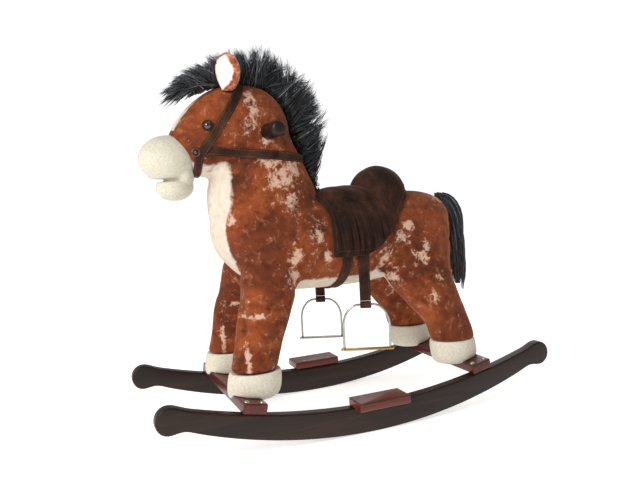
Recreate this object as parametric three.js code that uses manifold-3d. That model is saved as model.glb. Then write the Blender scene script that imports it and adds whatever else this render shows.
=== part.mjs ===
// Plush rocking horse on two bowed wooden rockers.
//
// Millimetres. +X is the horse's left side, -Y is where it looks, +Z is up.
// The origin is on the floor, under the middle of the rockers.
// A wooden frame inside carries the rider's weight: leg posts bolted to two
// crossbars, a spine board, and a neck post with the handle through it.
// The stuffed skin, the saddle and the harness are plain solids around it.

import * as THREE from 'three'
import { mergeVertices } from 'three/addons/utils/BufferGeometryUtils.js'
import Module from 'manifold-3d'

const wasm = await Module()
wasm.setup()

const GAP = 0.3 // between pieces that touch
const FIT = 0.4 // between a stuffed skin and the frame inside it
const DEG = Math.PI / 180
const SIDES = { left: 1, right: -1 }
const ENDS = { front: -1, rear: 1 }

// ---------------------------------------------------------------- sizes

// Rockers
const rockerLength = 740
const rockerThickness = 20
const rockerOuterWidth = 280 // outer face to outer face
const rockerDepth = 46 // height of the board in its middle
const rockerBottomRadius = 889
const rockerTopRadius = 1105
const rockerTipRadius = 22.5
const rockerTipDrop = 5.4 // tip circle's centre below the middle of the bow
const rockerFacets = 23 // odd, so that one facet lies level in the middle

// Crossbars, across both rockers
const crossbarReach = 217 // from the middle of the rockers
const crossbarWidth = 40
const crossbarThickness = 17
const crossbarEdge = 2

// Footrests, one on each rocker
const footrestLength = 95
const footrestWidth = 46
const footrestThickness = 14
const footrestInset = 2 // from the rocker's inner face
const footrestEdge = 2

// Wood screws
const screwHeadRadius = 4.5
const screwHeadHeight = 2.4
const screwShankRadius = 2
const crossbarScrewLength = 42
const footrestScrewLength = 34
const crossbarScrewSpread = 26 // between the two screws of one joint
const footrestScrewSpread = 54
const screwClearance = 0.3

// Inner frame
const spineWidth = 90
const spineLength = 360
const spineThickness = 18
const spineHeight = 300 // underside
const postRadius = 12
const postTopReach = 146 // where the leg posts meet the spine board
const postTopSpread = 33
const neckPostThickness = 30
const neckPostWidth = 50
const neckPostTop = 575
const handleRadius = 13
const handleLength = 224
const handleHeight = 513
const handleReach = -140
const handleRounding = 8
const handleFit = 0.3

// Leg bolts, up through the crossbars into the posts
const boltRadius = 4
const boltHeadRadius = 7
const boltHeadHeight = 5
const boltGrip = 60 // thread in the post
const boltClearance = 0.3

// Legs and hooves
const hoofSpread = 78 // from the middle plane
const hoofReach = crossbarReach - 18
const hoofWidth = 33
const hoofLength = 43
const hoofTop = 122

// Harness
const strapThickness = 2.5
const girthWidth = 18
const girthReach = -22
const nosebandWidth = 14
const headstallWidth = 15
const reinWidth = 15
const saddleThickness = 8
const stirrupStrapWidth = 19
const stirrupStrapReach = 4
const stirrupStrapOut = 100 // from the middle plane
const stirrupStrapTop = 294
// Centre of the wire in the strap's eye. The right leather is let out further.
const stirrupTop = { left: 210, right: 191 }
const stirrupWire = 2 // radius
const stirrupWidth = 84
const stirrupHeight = 78
const stirrupFlatTop = 24
const treadDepth = 11
const treadThickness = 3
const treadOverhang = 4
const stirrupTurn = 25 * DEG // both hang turned this way on their straps
const eyeLoopRadius = 6.5
const eyeLoopBore = 4.2

// Eyes, ears, switch
const eyeRadius = 7.5
const earHeight = 66
const earWidth = 50
const earThickness = 17
const switchSize = 18
const switchThickness = 8
const buttonRadius = 4
const buttonTravel = 1.5
const buttonFit = 0.1

// Sound box and drives
const soundBoxWidth = 66
const soundBoxLength = 84
const soundBoxHeight = 34
const soundBoxReach = 44
const soundBoxBottom = 244
const driveWidth = 26

// ------------------------------------------------------------- materials

const finish = (color, roughness, metalness = 0) =>
  new THREE.MeshStandardMaterial({ color, roughness, metalness })

const FINISH = {
  rocker: finish(0x3a2620, 0.4),
  crossbar: finish(0x6b2a1e, 0.3),
  frame: finish(0xc9a878, 0.7),
  handle: finish(0x4a2318, 0.25),
  steel: finish(0xb9bbbe, 0.35, 1),
  plush: finish(0x9a4a28, 0.95),
  cream: finish(0xeee6da, 0.95),
  fur: finish(0x16161a, 0.8),
  suede: finish(0x3d2419, 0.9),
  eye: finish(0x140b08, 0.08),
  plastic: finish(0x26272a, 0.5),
}

const horse = new THREE.Group()

// --------------------------------------------------------------- helpers

function solid(geometry) {
  const bare = geometry.clone()
  bare.deleteAttribute('normal')
  bare.deleteAttribute('uv')
  const merged = mergeVertices(bare, 1e-4)
  return new wasm.Manifold(new wasm.Mesh({
    numProp: 3,
    vertProperties: new Float32Array(merged.attributes.position.array),
    triVerts: new Uint32Array(merged.index.array),
  }))
}

function addPart(name, body, material) {
  const { vertProperties, triVerts } = body.getMesh()
  const geometry = new THREE.BufferGeometry()
  geometry.setAttribute('position', new THREE.BufferAttribute(vertProperties, 3))
  geometry.setIndex(new THREE.BufferAttribute(triVerts, 1))
  geometry.computeVertexNormals()
  const mesh = new THREE.Mesh(geometry, material)
  mesh.name = name
  horse.add(mesh)
}

function moved(body, matrix) {
  return body.transform(matrix.elements)
}

const shift = (x, y, z) => new THREE.Matrix4().makeTranslation(x, y, z)

function box(low, high) {
  const size = high.map((value, i) => value - low[i])
  const centre = high.map((value, i) => (value + low[i]) / 2)
  return solid(new THREE.BoxGeometry(...size).translate(...centre))
}

// A round bar from one point to another.
function rod(from, to, radius, around = 16) {
  const start = new THREE.Vector3(...from)
  const end = new THREE.Vector3(...to)
  const along = end.clone().sub(start)
  const bar = new THREE.CylinderGeometry(radius, radius, along.length(), around)
  bar.translate(0, along.length() / 2, 0)
  const turn = new THREE.Quaternion()
  turn.setFromUnitVectors(new THREE.Vector3(0, 1, 0), along.clone().normalize())
  bar.applyQuaternion(turn)
  bar.translate(...start.toArray())
  return solid(bar)
}

function ellipsoid(centre, radii, around = 20) {
  const ball = new THREE.SphereGeometry(1, around, Math.round(around * 0.6))
  return solid(ball.scale(...radii).translate(...centre))
}

// A stuffed form: a closed skin through oval sections across one axis.
// A section is { at, x, wide, y or z, deep }: its place along the axis, its
// centre, its half-width along X, and its other half-size.
function stuffed(axis, sections, grow = 0, around = 16, steps = 1) {
  const other = axis === 'y' ? 'z' : 'y'
  const last = sections.length - 1
  const ends = sections.map((s, i) => s.at + (i === 0 ? -grow : 0) + (i === last ? grow : 0))
  const centres = new THREE.CatmullRomCurve3(
    sections.map((s, i) => new THREE.Vector3(s.x ?? 0, s[other], ends[i])),
    false, 'catmullrom', 0.5,
  )
  const radii = new THREE.CatmullRomCurve3(
    sections.map((s) => new THREE.Vector3(s.wide + grow, s.deep + grow, 0)),
    false, 'catmullrom', 0.5,
  )
  const skin = new THREE.CylinderGeometry(1, 1, 1, around, last * steps)
  const place = skin.attributes.position
  for (let i = 0; i < place.count; i++) {
    const share = place.getY(i) + 0.5
    const centre = centres.getPoint(share)
    const radius = radii.getPoint(share)
    const x = centre.x + radius.x * place.getX(i)
    const side = radius.y * place.getZ(i)
    if (axis === 'y') place.setXYZ(i, x, centre.z, centre.y + side)
    else place.setXYZ(i, x, centre.y - side, centre.z)
  }
  return solid(skin)
}

// A slab square to the side view, as wide as the horse.
function sideSlab(outline, halfWidth = 200) {
  const shape = new THREE.Shape(outline.map(([y, z]) => new THREE.Vector2(y, z)))
  const slab = new THREE.ExtrudeGeometry(shape, { depth: 2 * halfWidth, bevelEnabled: false })
  slab.translate(0, 0, -halfWidth)
  const axes = new THREE.Matrix4().makeBasis(
    new THREE.Vector3(0, 1, 0), new THREE.Vector3(0, 0, 1), new THREE.Vector3(1, 0, 0),
  )
  return solid(slab.applyMatrix4(axes))
}

// A strip of side view, width wide, from one point to another.
function strip([y0, z0], [y1, z1], width) {
  const length = Math.hypot(y1 - y0, z1 - z0)
  const across = [-(z1 - z0) / length * width / 2, (y1 - y0) / length * width / 2]
  return sideSlab([
    [y0 - across[0], z0 - across[1]], [y1 - across[0], z1 - across[1]],
    [y1 + across[0], z1 + across[1]], [y0 + across[0], z0 + across[1]],
  ])
}

// ---------------------------------------------------------------- rockers

const rockerTop = (y) => rockerDepth + rockerTopRadius - Math.sqrt(rockerTopRadius ** 2 - y ** 2)
const rockerBottom = (y) => rockerBottomRadius - Math.sqrt(rockerBottomRadius ** 2 - y ** 2)
const rockerTipReach = rockerLength / 2 - rockerTipRadius
const rockerTipHeight = (rockerTop(rockerTipReach) + rockerBottom(rockerTipReach)) / 2 - rockerTipDrop
const rockerMiddle = (rockerOuterWidth - rockerThickness) / 2

// Where the round tip leaves the long arc, on the side nearer the middle.
function tipMeeting(arcCentreZ, arcRadius) {
  const dy = rockerTipReach
  const dz = rockerTipHeight - arcCentreZ
  const apart = Math.hypot(dy, dz)
  const turn = Math.acos((arcRadius ** 2 + apart ** 2 - rockerTipRadius ** 2) / (2 * arcRadius * apart))
  const angle = Math.atan2(dz, dy) - turn
  return { y: arcRadius * Math.cos(angle), z: arcCentreZ + arcRadius * Math.sin(angle) }
}

function rockerOutline() {
  const bottom = tipMeeting(rockerBottomRadius, rockerBottomRadius)
  const top = tipMeeting(rockerDepth + rockerTopRadius, rockerTopRadius)
  const points = []
  for (let i = 0; i <= rockerFacets; i++) {
    const y = bottom.y * (2 * i / rockerFacets - 1)
    points.push([y, rockerBottom(y)])
  }
  const from = Math.atan2(bottom.z - rockerTipHeight, bottom.y - rockerTipReach)
  const to = Math.atan2(top.z - rockerTipHeight, top.y - rockerTipReach)
  const tip = []
  for (let i = 1; i < 12; i++) {
    const angle = from + (to - from) * i / 12
    const y = rockerTipReach + rockerTipRadius * Math.cos(angle)
    const z = rockerTipHeight + rockerTipRadius * Math.sin(angle)
    tip.push([y, z])
  }
  points.push(...tip)
  for (let i = 0; i <= rockerFacets; i++) {
    const y = top.y * (1 - 2 * i / rockerFacets)
    points.push([y, rockerTop(y)])
  }
  points.push(...tip.map(([y, z]) => [-y, z]).reverse())
  return points
}

// -------------------------------------------------------------- crossbars

const crossbarTilt = Math.asin(crossbarReach / rockerTopRadius)
// The flat bar bridges the hollow of the arc under it.
const crossbarSeat = rockerTop(crossbarReach) + crossbarWidth ** 2 / 8 / rockerTopRadius + GAP

// Turns the bar's own upright frame to its place on the rockers.
function crossbarPlace(end) {
  const turn = new THREE.Matrix4().makeRotationX(end * crossbarTilt)
  return shift(0, end * crossbarReach, crossbarSeat).multiply(turn)
}

function roundedBar(width, length, thickness, edge) {
  const shape = new THREE.Shape()
  shape.moveTo(-width / 2 + edge, -length / 2 + edge)
  shape.lineTo(width / 2 - edge, -length / 2 + edge)
  shape.lineTo(width / 2 - edge, length / 2 - edge)
  shape.lineTo(-width / 2 + edge, length / 2 - edge)
  const bar = new THREE.ExtrudeGeometry(shape, {
    depth: thickness - 2 * edge, bevelThickness: edge, bevelSize: edge, bevelSegments: 2,
  })
  return solid(bar.translate(0, 0, edge))
}

// A screw with its head's underside at the origin, pointing down. With extra,
// it is the hole for one, open above the head.
function screw(length, extra = 0) {
  const profile = [
    [0, -length - extra], [screwShankRadius + extra, -length + 4 - extra],
    [screwShankRadius + extra, -extra], [screwHeadRadius + extra, -extra],
    [screwHeadRadius + extra, screwHeadHeight * 0.5 + 4 * extra],
    [screwHeadRadius * 0.7 + extra, screwHeadHeight + 4 * extra], [0, screwHeadHeight + 4 * extra],
  ].map(([r, z]) => new THREE.Vector2(r, z))
  const turned = new THREE.LatheGeometry(profile, 10)
  return solid(turned.rotateX(Math.PI / 2))
}

const screws = []

for (const [endName, end] of Object.entries(ENDS)) {
  for (const [sideName, side] of Object.entries(SIDES)) {
    for (const [index, step] of [-1, 1].entries()) {
      const at = crossbarPlace(end).multiply(
        shift(side * rockerMiddle, step * crossbarScrewSpread / 2 * end, crossbarThickness + GAP / 3))
      const name = `crossbar_screw_${endName}_${sideName}_${index + 1}`
      screws.push({ name, at, length: crossbarScrewLength })
    }
  }
}

const footrestSeat = rockerTop(footrestLength / 2) + GAP
const footrestMiddle = rockerOuterWidth / 2 - rockerThickness + footrestInset + footrestWidth / 2

for (const [sideName, side] of Object.entries(SIDES)) {
  for (const [index, step] of [-1, 1].entries()) {
    const at = shift(side * rockerMiddle, step * footrestScrewSpread / 2,
      footrestSeat + footrestThickness - screwHeadHeight - GAP)
    const name = `footrest_screw_${sideName}_${index + 1}`
    screws.push({ name, at, length: footrestScrewLength })
  }
}

const screwHoles = wasm.Manifold.union(screws.map(({ at, length }) =>
  moved(screw(length, screwClearance), at)))

// ------------------------------------------------------------ inner frame

const onCrossbar = (end, side) => {
  const foot = new THREE.Vector3(side * hoofSpread, 0, crossbarThickness + GAP)
  return foot.applyMatrix4(crossbarPlace(end))
}
const postHead = (end, side) => new THREE.Vector3(side * postTopSpread, end * postTopReach, spineHeight)

// A leg post's own line, from the top of the crossbar to the spine board.
function postLine(end, side) {
  const foot = onCrossbar(end, side)
  const head = postHead(end, side)
  const along = head.clone().sub(foot).normalize()
  return { foot, head, along }
}

function crossbarBody(end, grow = 0) {
  const bar = roundedBar(rockerOuterWidth + 2 * grow, crossbarWidth + 2 * grow,
    crossbarThickness + 2 * grow, crossbarEdge)
  return moved(bar, crossbarPlace(end).multiply(shift(0, 0, -grow)))
}

const alongLine = (point, direction, distance) =>
  point.clone().addScaledVector(direction, distance).toArray()

// A bolt along the post's line, its head under the crossbar.
function legBolt(end, side, extra = 0) {
  const { foot, along } = postLine(end, side)
  const under = -(crossbarThickness + 2 * GAP) * 1.06
  const shank = rod(alongLine(foot, along, under - 1), alongLine(foot, along, boltGrip + extra),
    boltRadius + extra)
  const head = rod(alongLine(foot, along, under - boltHeadHeight), alongLine(foot, along, under - 0.3),
    boltHeadRadius + extra * 2)
  return shank.add(head)
}

const spineBox = (grow = 0) => box(
  [-spineWidth / 2 - grow, -spineLength / 2 - grow, spineHeight + GAP - grow],
  [spineWidth / 2 + grow, spineLength / 2 + grow, spineHeight + GAP + spineThickness + grow],
)

function legPost(end, side, grow = 0) {
  const { foot, head, along } = postLine(end, side)
  const bar = rod(alongLine(foot, along, -20), alongLine(head, along, 20), postRadius + grow, 14)
  return bar
    .subtract(box([-300, -300, spineHeight], [300, 300, 400]))
    .subtract(moved(box([-200, -90, -60], [200, 90, crossbarThickness + GAP - grow]), crossbarPlace(end)))
}

const neckPostBottom = spineHeight + spineThickness + 2 * GAP
const neckPostBox = (grow = 0) => box(
  [-neckPostThickness / 2 - grow, handleReach - neckPostWidth / 2 - grow, neckPostBottom - grow],
  [neckPostThickness / 2 + grow, handleReach + neckPostWidth / 2 + grow, neckPostTop + grow],
)

function handleBar(grow = 0) {
  const half = handleLength / 2
  const radius = handleRadius + grow
  const cap = []
  for (let i = 0; i <= 3; i++) {
    const angle = i * 30 * DEG
    const inward = handleRounding * (1 - Math.cos(angle))
    cap.push([radius - inward, half - handleRounding * (1 - Math.sin(angle))])
  }
  const profile = [[0, -half], ...cap.map(([r, z]) => [r, -z]).reverse(), ...cap, [0, half]]
  const turned = new THREE.LatheGeometry(profile.map(([r, z]) => new THREE.Vector2(r, z)), 20)
  return moved(solid(turned.rotateZ(-Math.PI / 2)), shift(0, handleReach, handleHeight))
}

// The sound box sits in the belly, in a pocket open downwards.
const soundBoxLow = [-soundBoxWidth / 2, soundBoxReach - soundBoxLength / 2, soundBoxBottom]
const soundBoxHigh = [
  soundBoxWidth / 2, soundBoxReach + soundBoxLength / 2, soundBoxBottom + soundBoxHeight,
]
const soundPocket = box(
  [soundBoxLow[0] - FIT, soundBoxLow[1] - FIT, 200],
  [soundBoxHigh[0] + FIT, soundBoxHigh[1] + FIT, soundBoxHigh[2] + FIT],
)

const framePieces = (grow) => wasm.Manifold.union([
  spineBox(grow), neckPostBox(grow), handleBar(grow),
  ...Object.values(ENDS).flatMap((end) => Object.values(SIDES).map((side) => legPost(end, side, grow))),
])

// ------------------------------------------------------------- soft forms

const torsoForm = (grow) => stuffed('y', [
  { at: -236, z: 352, deep: 18, wide: 22 },
  { at: -220, z: 350, deep: 52, wide: 60 },
  { at: -180, z: 338, deep: 78, wide: 84 },
  { at: -120, z: 322, deep: 86, wide: 93 },
  { at: -50, z: 316, deep: 84, wide: 96 },
  { at: 20, z: 315, deep: 82, wide: 97 },
  { at: 90, z: 320, deep: 80, wide: 96 },
  { at: 150, z: 328, deep: 75, wide: 90 },
  { at: 195, z: 338, deep: 59, wide: 74 },
  { at: 222, z: 346, deep: 36, wide: 46 },
  { at: 232, z: 348, deep: 12, wide: 14 },
], grow)

const neckForm = (grow) => stuffed('z', [
  { at: 330, y: -125, deep: 100, wide: 72 },
  { at: 375, y: -137, deep: 104, wide: 74 },
  { at: 420, y: -140, deep: 100, wide: 68 },
  { at: 460, y: -142, deep: 86, wide: 60 },
  { at: 500, y: -143, deep: 66, wide: 52 },
  { at: 530, y: -145, deep: 50, wide: 44 },
], grow)

const headForm = (grow) => stuffed('y', [
  { at: -298, z: 500, deep: 20, wide: 20 },
  { at: -284, z: 500, deep: 42, wide: 38 },
  { at: -254, z: 508, deep: 66, wide: 50 },
  { at: -215, z: 521, deep: 76, wide: 56 },
  { at: -175, z: 528, deep: 74, wide: 55 },
  { at: -135, z: 530, deep: 66, wide: 50 },
  { at: -102, z: 525, deep: 46, wide: 38 },
  { at: -84, z: 515, deep: 16, wide: 16 },
], grow)

const legForms = {
  front: (side, grow) => stuffed('z', [
    { at: hoofTop, x: side * hoofSpread, wide: 33, y: -hoofReach + 5, deep: 42 },
    { at: 160, x: side * 77, wide: 34, y: -hoofReach + 14, deep: 43 },
    { at: 205, x: side * 74, wide: 37, y: -hoofReach + 26, deep: 48 },
    { at: 250, x: side * 68, wide: 38, y: -hoofReach + 40, deep: 52 },
    { at: 292, x: side * 56, wide: 34, y: -hoofReach + 52, deep: 57 },
  ], grow, 14),
  rear: (side, grow) => stuffed('z', [
    { at: hoofTop, x: side * hoofSpread, wide: 35, y: hoofReach - 6, deep: 46 },
    { at: 150, x: side * 78, wide: 36, y: hoofReach - 15, deep: 47 },
    { at: 200, x: side * 76, wide: 39, y: hoofReach - 44, deep: 58 },
    { at: 250, x: side * 70, wide: 40, y: hoofReach - 67, deep: 72 },
    { at: 296, x: side * 58, wide: 36, y: hoofReach - 71, deep: 74 },
  ], grow, 14),
}

const hoofForm = (end, side) => stuffed('z', [
  { at: 74, x: side * hoofSpread, wide: hoofWidth - 3, y: end * (hoofReach + 1), deep: hoofLength - 4 },
  { at: 92, x: side * hoofSpread, wide: hoofWidth + 3, y: end * hoofReach, deep: hoofLength + 3 },
  { at: hoofTop - GAP, x: side * hoofSpread, wide: hoofWidth, y: end * (hoofReach - 5), deep: hoofLength },
], 0, 14)

const mouthHeight = 443
const jawTop = 439
const muzzleForm = () => ellipsoid([0, -303, 476], [44, 47, 39], 16)
const jawForm = () => ellipsoid([0, -290, 428], [31, 33, 24], 14)

const earPlace = (side) => {
  const lean = new THREE.Euler(8 * DEG, side * 12 * DEG, side * 24 * DEG, 'ZYX')
  return shift(side * 31, -198, 588).multiply(new THREE.Matrix4().makeRotationFromEuler(lean))
}

// The ear stands on its own origin: wide across X, thin along Y.
function earForm(side, grow = 0) {
  const leaf = stuffed('z', [
    { at: -8, y: 0, deep: earThickness * 0.34, wide: earWidth * 0.30 },
    { at: earHeight * 0.25, y: 0, deep: earThickness * 0.5, wide: earWidth * 0.47 },
    { at: earHeight * 0.55, y: 0, deep: earThickness * 0.46, wide: earWidth * 0.5 },
    { at: earHeight * 0.85, y: 0, deep: earThickness * 0.3, wide: earWidth * 0.34 },
    { at: earHeight, y: 0, deep: 2, wide: 4 },
  ], grow, 14)
  return moved(leaf, earPlace(side))
}

// ------------------------------------------------------------ build: wood

const rocker = sideSlab(rockerOutline(), rockerThickness / 2)
for (const [sideName, side] of Object.entries(SIDES)) {
  const board = moved(rocker, shift(side * rockerMiddle, 0, 0))
  addPart(`rocker_${sideName}`, board.subtract(screwHoles), FINISH.rocker)

  const rest = roundedBar(footrestWidth, footrestLength, footrestThickness, footrestEdge)
  const placed = moved(rest, shift(side * footrestMiddle, 0, footrestSeat))
  addPart(`footrest_${sideName}`, placed.subtract(screwHoles), FINISH.crossbar)
}

for (const [endName, end] of Object.entries(ENDS)) {
  const boltHoles = wasm.Manifold.union(
    Object.values(SIDES).map((side) => legBolt(end, side, boltClearance)))
  const bar = crossbarBody(end).subtract(screwHoles).subtract(boltHoles)
  addPart(`${endName}_crossbar`, bar, FINISH.crossbar)
}

for (const { name, at, length } of screws) addPart(name, moved(screw(length), at), FINISH.steel)

addPart('spine_board', spineBox(), FINISH.frame)
addPart('neck_post', neckPostBox().subtract(handleBar(handleFit)), FINISH.frame)
addPart('handle_bar', handleBar(), FINISH.handle)

// --------------------------------------------- build: legs, posts, hooves

for (const [endName, end] of Object.entries(ENDS)) {
  for (const [sideName, side] of Object.entries(SIDES)) {
    const where = `${endName}_${sideName}`
    const post = legPost(end, side).subtract(legBolt(end, side, boltClearance))
    addPart(`leg_post_${where}`, post, FINISH.frame)
    addPart(`leg_bolt_${where}`, legBolt(end, side), FINISH.steel)

    const room = legPost(end, side, FIT)
    const leg = legForms[endName](side, 0).subtract(torsoForm(GAP)).subtract(room)
      .subtract(soundPocket)
    addPart(`leg_${where}`, leg, FINISH.plush)
    const hoof = hoofForm(end, side).subtract(crossbarBody(end, GAP)).subtract(room)
      .subtract(legBolt(end, side, 2))
    addPart(`hoof_${where}`, hoof, FINISH.cream)
  }
}

// ------------------------------------------------------ build: inner works

addPart('sound_box', box(soundBoxLow, soundBoxHigh), FINISH.plastic)

const jawDriveLow = [-driveWidth / 2, -262, 450]
const jawDriveHigh = [driveWidth / 2, -222, 476]
addPart('jaw_drive', box(jawDriveLow, jawDriveHigh), FINISH.plastic)
const jawPocket = box(
  [jawDriveLow[0] - FIT, jawDriveLow[1] - FIT, 400], jawDriveHigh.map((value) => value + FIT))

const tailDriveLow = [-driveWidth / 2, 186, 350]
const tailDriveHigh = [driveWidth / 2, 222, 376]
addPart('tail_drive', box(tailDriveLow, tailDriveHigh), FINISH.plastic)
const tailPocket = box(
  tailDriveLow.map((value) => value - FIT), [tailDriveHigh[0] + FIT, 260, tailDriveHigh[2] + FIT])

// ------------------------------------------------------- build: soft parts

const frameRoom = framePieces(FIT)
const trunk = torsoForm(0).add(neckForm(0)).subtract(headForm(GAP))
addPart('body_plush', trunk.subtract(frameRoom).subtract(soundPocket).subtract(tailPocket), FINISH.plush)

const muzzleCut = box([-100, -400, 380], [100, -200, mouthHeight])
addPart('head_plush', headForm(0).subtract(frameRoom).subtract(jawPocket), FINISH.plush)
addPart('muzzle', muzzleForm().subtract(headForm(GAP)).subtract(muzzleCut), FINISH.cream)
const jawCut = box([-100, -400, jawTop], [100, -200, 500])
addPart('lower_jaw', jawForm().subtract(jawCut).subtract(headForm(5)), FINISH.cream)

for (const [sideName, side] of Object.entries(SIDES)) {
  const pocket = moved(
    box([-switchSize / 2 - FIT, -switchThickness / 2 - FIT, -40],
      [switchSize / 2 + FIT, switchThickness / 2 + FIT, 34]), earPlace(side))
  const ear = earForm(side).subtract(headForm(GAP))
  addPart(`ear_${sideName}`, side > 0 ? ear.subtract(pocket) : ear, FINISH.plush)
  const ball = ellipsoid([side * 50, -241, 524], [eyeRadius, eyeRadius, eyeRadius], 12)
  addPart(`eye_${sideName}`, ball.subtract(headForm(GAP)), FINISH.eye)
}

// Switch in the left ear: the button slides in its housing.
const buttonHeight = 23
const buttonBottom = -switchThickness / 2 + 2
const buttonTop = switchThickness / 2 - 1
const switchHole = rod([0, buttonBottom - buttonTravel - 0.3, buttonHeight], [0, 20, buttonHeight],
  buttonRadius + buttonFit, 20)
const housing = box([-switchSize / 2, -switchThickness / 2, buttonHeight - switchSize / 2],
  [switchSize / 2, switchThickness / 2 - 2, buttonHeight + switchSize / 2])
addPart('ear_switch', moved(housing.subtract(switchHole), earPlace(1)), FINISH.plastic)
addPart('ear_button', moved(rod([0, buttonBottom, buttonHeight], [0, buttonTop, buttonHeight],
  buttonRadius, 20), earPlace(1)), FINISH.plastic)

// Bridle: a strap under the chin, and one from its ends up behind the ears.
const overHead = (slab, extra) =>
  headForm(strapThickness + GAP + extra).subtract(headForm(GAP - extra)).intersect(slab)
const chinBand = (extra) => overHead(strip([-257, 390], [-257, 498], nosebandWidth + 2 * extra), extra)
const headstallBand = (extra) =>
  overHead(strip([-257, 474], [-142, 640], headstallWidth + 2 * extra), extra)
const bridleBand = (extra) => chinBand(extra).add(headstallBand(extra))
const bridle = bridleBand(0).subtract(earForm(1, GAP)).subtract(earForm(-1, GAP)).subtract(muzzleForm())
addPart('bridle', bridle, FINISH.suede)

// The reins run from the bridle back round the neck, under the mane.
const headAndNeck = (grow) => headForm(grow).add(neckForm(grow))
const reinBand = (extra) => headAndNeck(strapThickness + GAP + extra).subtract(headAndNeck(GAP - extra))
  .intersect(strip([-240, 484], [-20, 462], reinWidth + 2 * extra))
const reins = reinBand(0).subtract(bridleBand(GAP)).subtract(box([-200, -400, 380], [200, -244, 640]))
addPart('reins', reins, FINISH.suede)

const maneSlab = sideSlab([
  [-300, 572], [-262, 612], [-220, 634], [-172, 650], [-120, 650], [-66, 610], [-34, 578],
  [-18, 530], [-22, 470], [-24, 424], [-70, 420], [-110, 500], [-140, 560], [-210, 570], [-250, 560],
], 22)
const maneRoom = [headForm(GAP), neckForm(GAP), torsoForm(GAP), earForm(1, GAP + 1), earForm(-1, GAP + 1),
  reinBand(GAP / 2), bridleBand(GAP / 2)]
let mane = maneSlab
for (const room of maneRoom) mane = mane.subtract(room)
addPart('mane', mane, FINISH.fur)

const tailForm = stuffed('z', [
  { at: 190, y: 266, deep: 6, wide: 7 },
  { at: 220, y: 265, deep: 15, wide: 15 },
  { at: 275, y: 263, deep: 20, wide: 19 },
  { at: 335, y: 258, deep: 20, wide: 19 },
  { at: 372, y: 246, deep: 18, wide: 16 },
  { at: 392, y: 236, deep: 10, wide: 10 },
], 0, 14)
addPart('tail', tailForm.subtract(torsoForm(1.5)), FINISH.fur)

// ---------------------------------------------------------- build: harness

const saddleOutline = sideSlab([
  [-58, 470], [-60, 400], [-50, 299], [0, 296], [36, 308], [66, 336],
  [90, 370], [120, 392], [143, 404], [143, 470],
])
const seat = ellipsoid([0, 22, 394], [62, 88, 24], 16)
const cantle = ellipsoid([0, 87, 392], [70, 56, 60], 16)
const saddle = torsoForm(saddleThickness).intersect(saddleOutline).add(seat).add(cantle)
  .subtract(torsoForm(GAP)).subtract(neckForm(GAP)).subtract(box([-200, -200, 100], [200, 300, 290]))
addPart('saddle', saddle.subtract(maneSlab), FINISH.suede)

const girthSlab = box([-200, girthReach - girthWidth / 2, 100], [200, girthReach + girthWidth / 2, 294])
const girth = torsoForm(strapThickness + GAP).subtract(torsoForm(GAP)).intersect(girthSlab)
addPart('girth_strap', girth, FINISH.suede)

// Stirrup leathers hang from the saddle, with the stirrup's wire through an eye.
const polygon = (radius, sides) => new THREE.Shape(Array.from({ length: sides }, (_, i) => {
  const angle = 2 * Math.PI * (i + 0.5) / sides
  return new THREE.Vector2(radius * Math.cos(angle), radius * Math.sin(angle))
}))

function stirrupStrap(wireHeight) {
  const half = stirrupStrapWidth / 2
  const shoulder = stirrupStrapTop - half
  const face = strapThickness / 2
  const band = box([-face, -half, wireHeight + eyeLoopBore], [face, half, shoulder])
    .add(rod([-face, 0, shoulder], [face, 0, shoulder], half, 20))
  const eye = rod([0, -half, wireHeight], [0, half, wireHeight], eyeLoopRadius, 14)
  const bore = rod([0, -30, wireHeight], [0, 30, wireHeight], eyeLoopBore, 14)
  return band.add(eye).subtract(bore)
}

function stirrup(wireHeight) {
  const half = stirrupWidth / 2
  const foot = wireHeight - stirrupHeight
  const rise = [
    [half, foot], [half, foot + stirrupHeight * 0.42], [half * 0.88, foot + stirrupHeight * 0.72],
    [half * 0.6, foot + stirrupHeight * 0.94], [stirrupFlatTop / 2, wireHeight],
  ]
  const points = [...rise, [0, wireHeight], ...rise.map(([y, z]) => [-y, z]).reverse()]
  const path = new THREE.CatmullRomCurve3(points.map(([y, z]) => new THREE.Vector3(0, y, z)))
  const wire = new THREE.ExtrudeGeometry(polygon(stirrupWire, 6), { steps: 22, extrudePath: path })
  const tread = box([-treadDepth / 2, -half - treadOverhang, foot - treadThickness],
    [treadDepth / 2, half + treadOverhang, foot + 0.01])
  return solid(wire).add(tread)
}

for (const [sideName, side] of Object.entries(SIDES)) {
  const turn = new THREE.Matrix4().makeRotationZ(-stirrupTurn)
  const place = shift(side * stirrupStrapOut, stirrupStrapReach, 0).multiply(turn)
  addPart(`stirrup_strap_${sideName}`, moved(stirrupStrap(stirrupTop[sideName]), place), FINISH.suede)
  addPart(`stirrup_${sideName}`, moved(stirrup(stirrupTop[sideName]), place), FINISH.steel)
}

export default horse
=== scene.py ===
# %% [markdown]
# # A plush rocking horse, piece by piece
# A soft toy horse stands on two bowed boards. The hard parts keep the places
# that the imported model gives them, and every cover, strap, lock of hair and
# board edge is made here as a fine surface on top of those places.
# Lengths are written in millimetres, as on a workshop drawing, and turned to
# metres in one place, where a mesh is made.

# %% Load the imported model
import bmesh
import bpy
import numpy as np
from mathutils import Matrix, Vector
from mathutils.bvhtree import BVHTree


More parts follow.
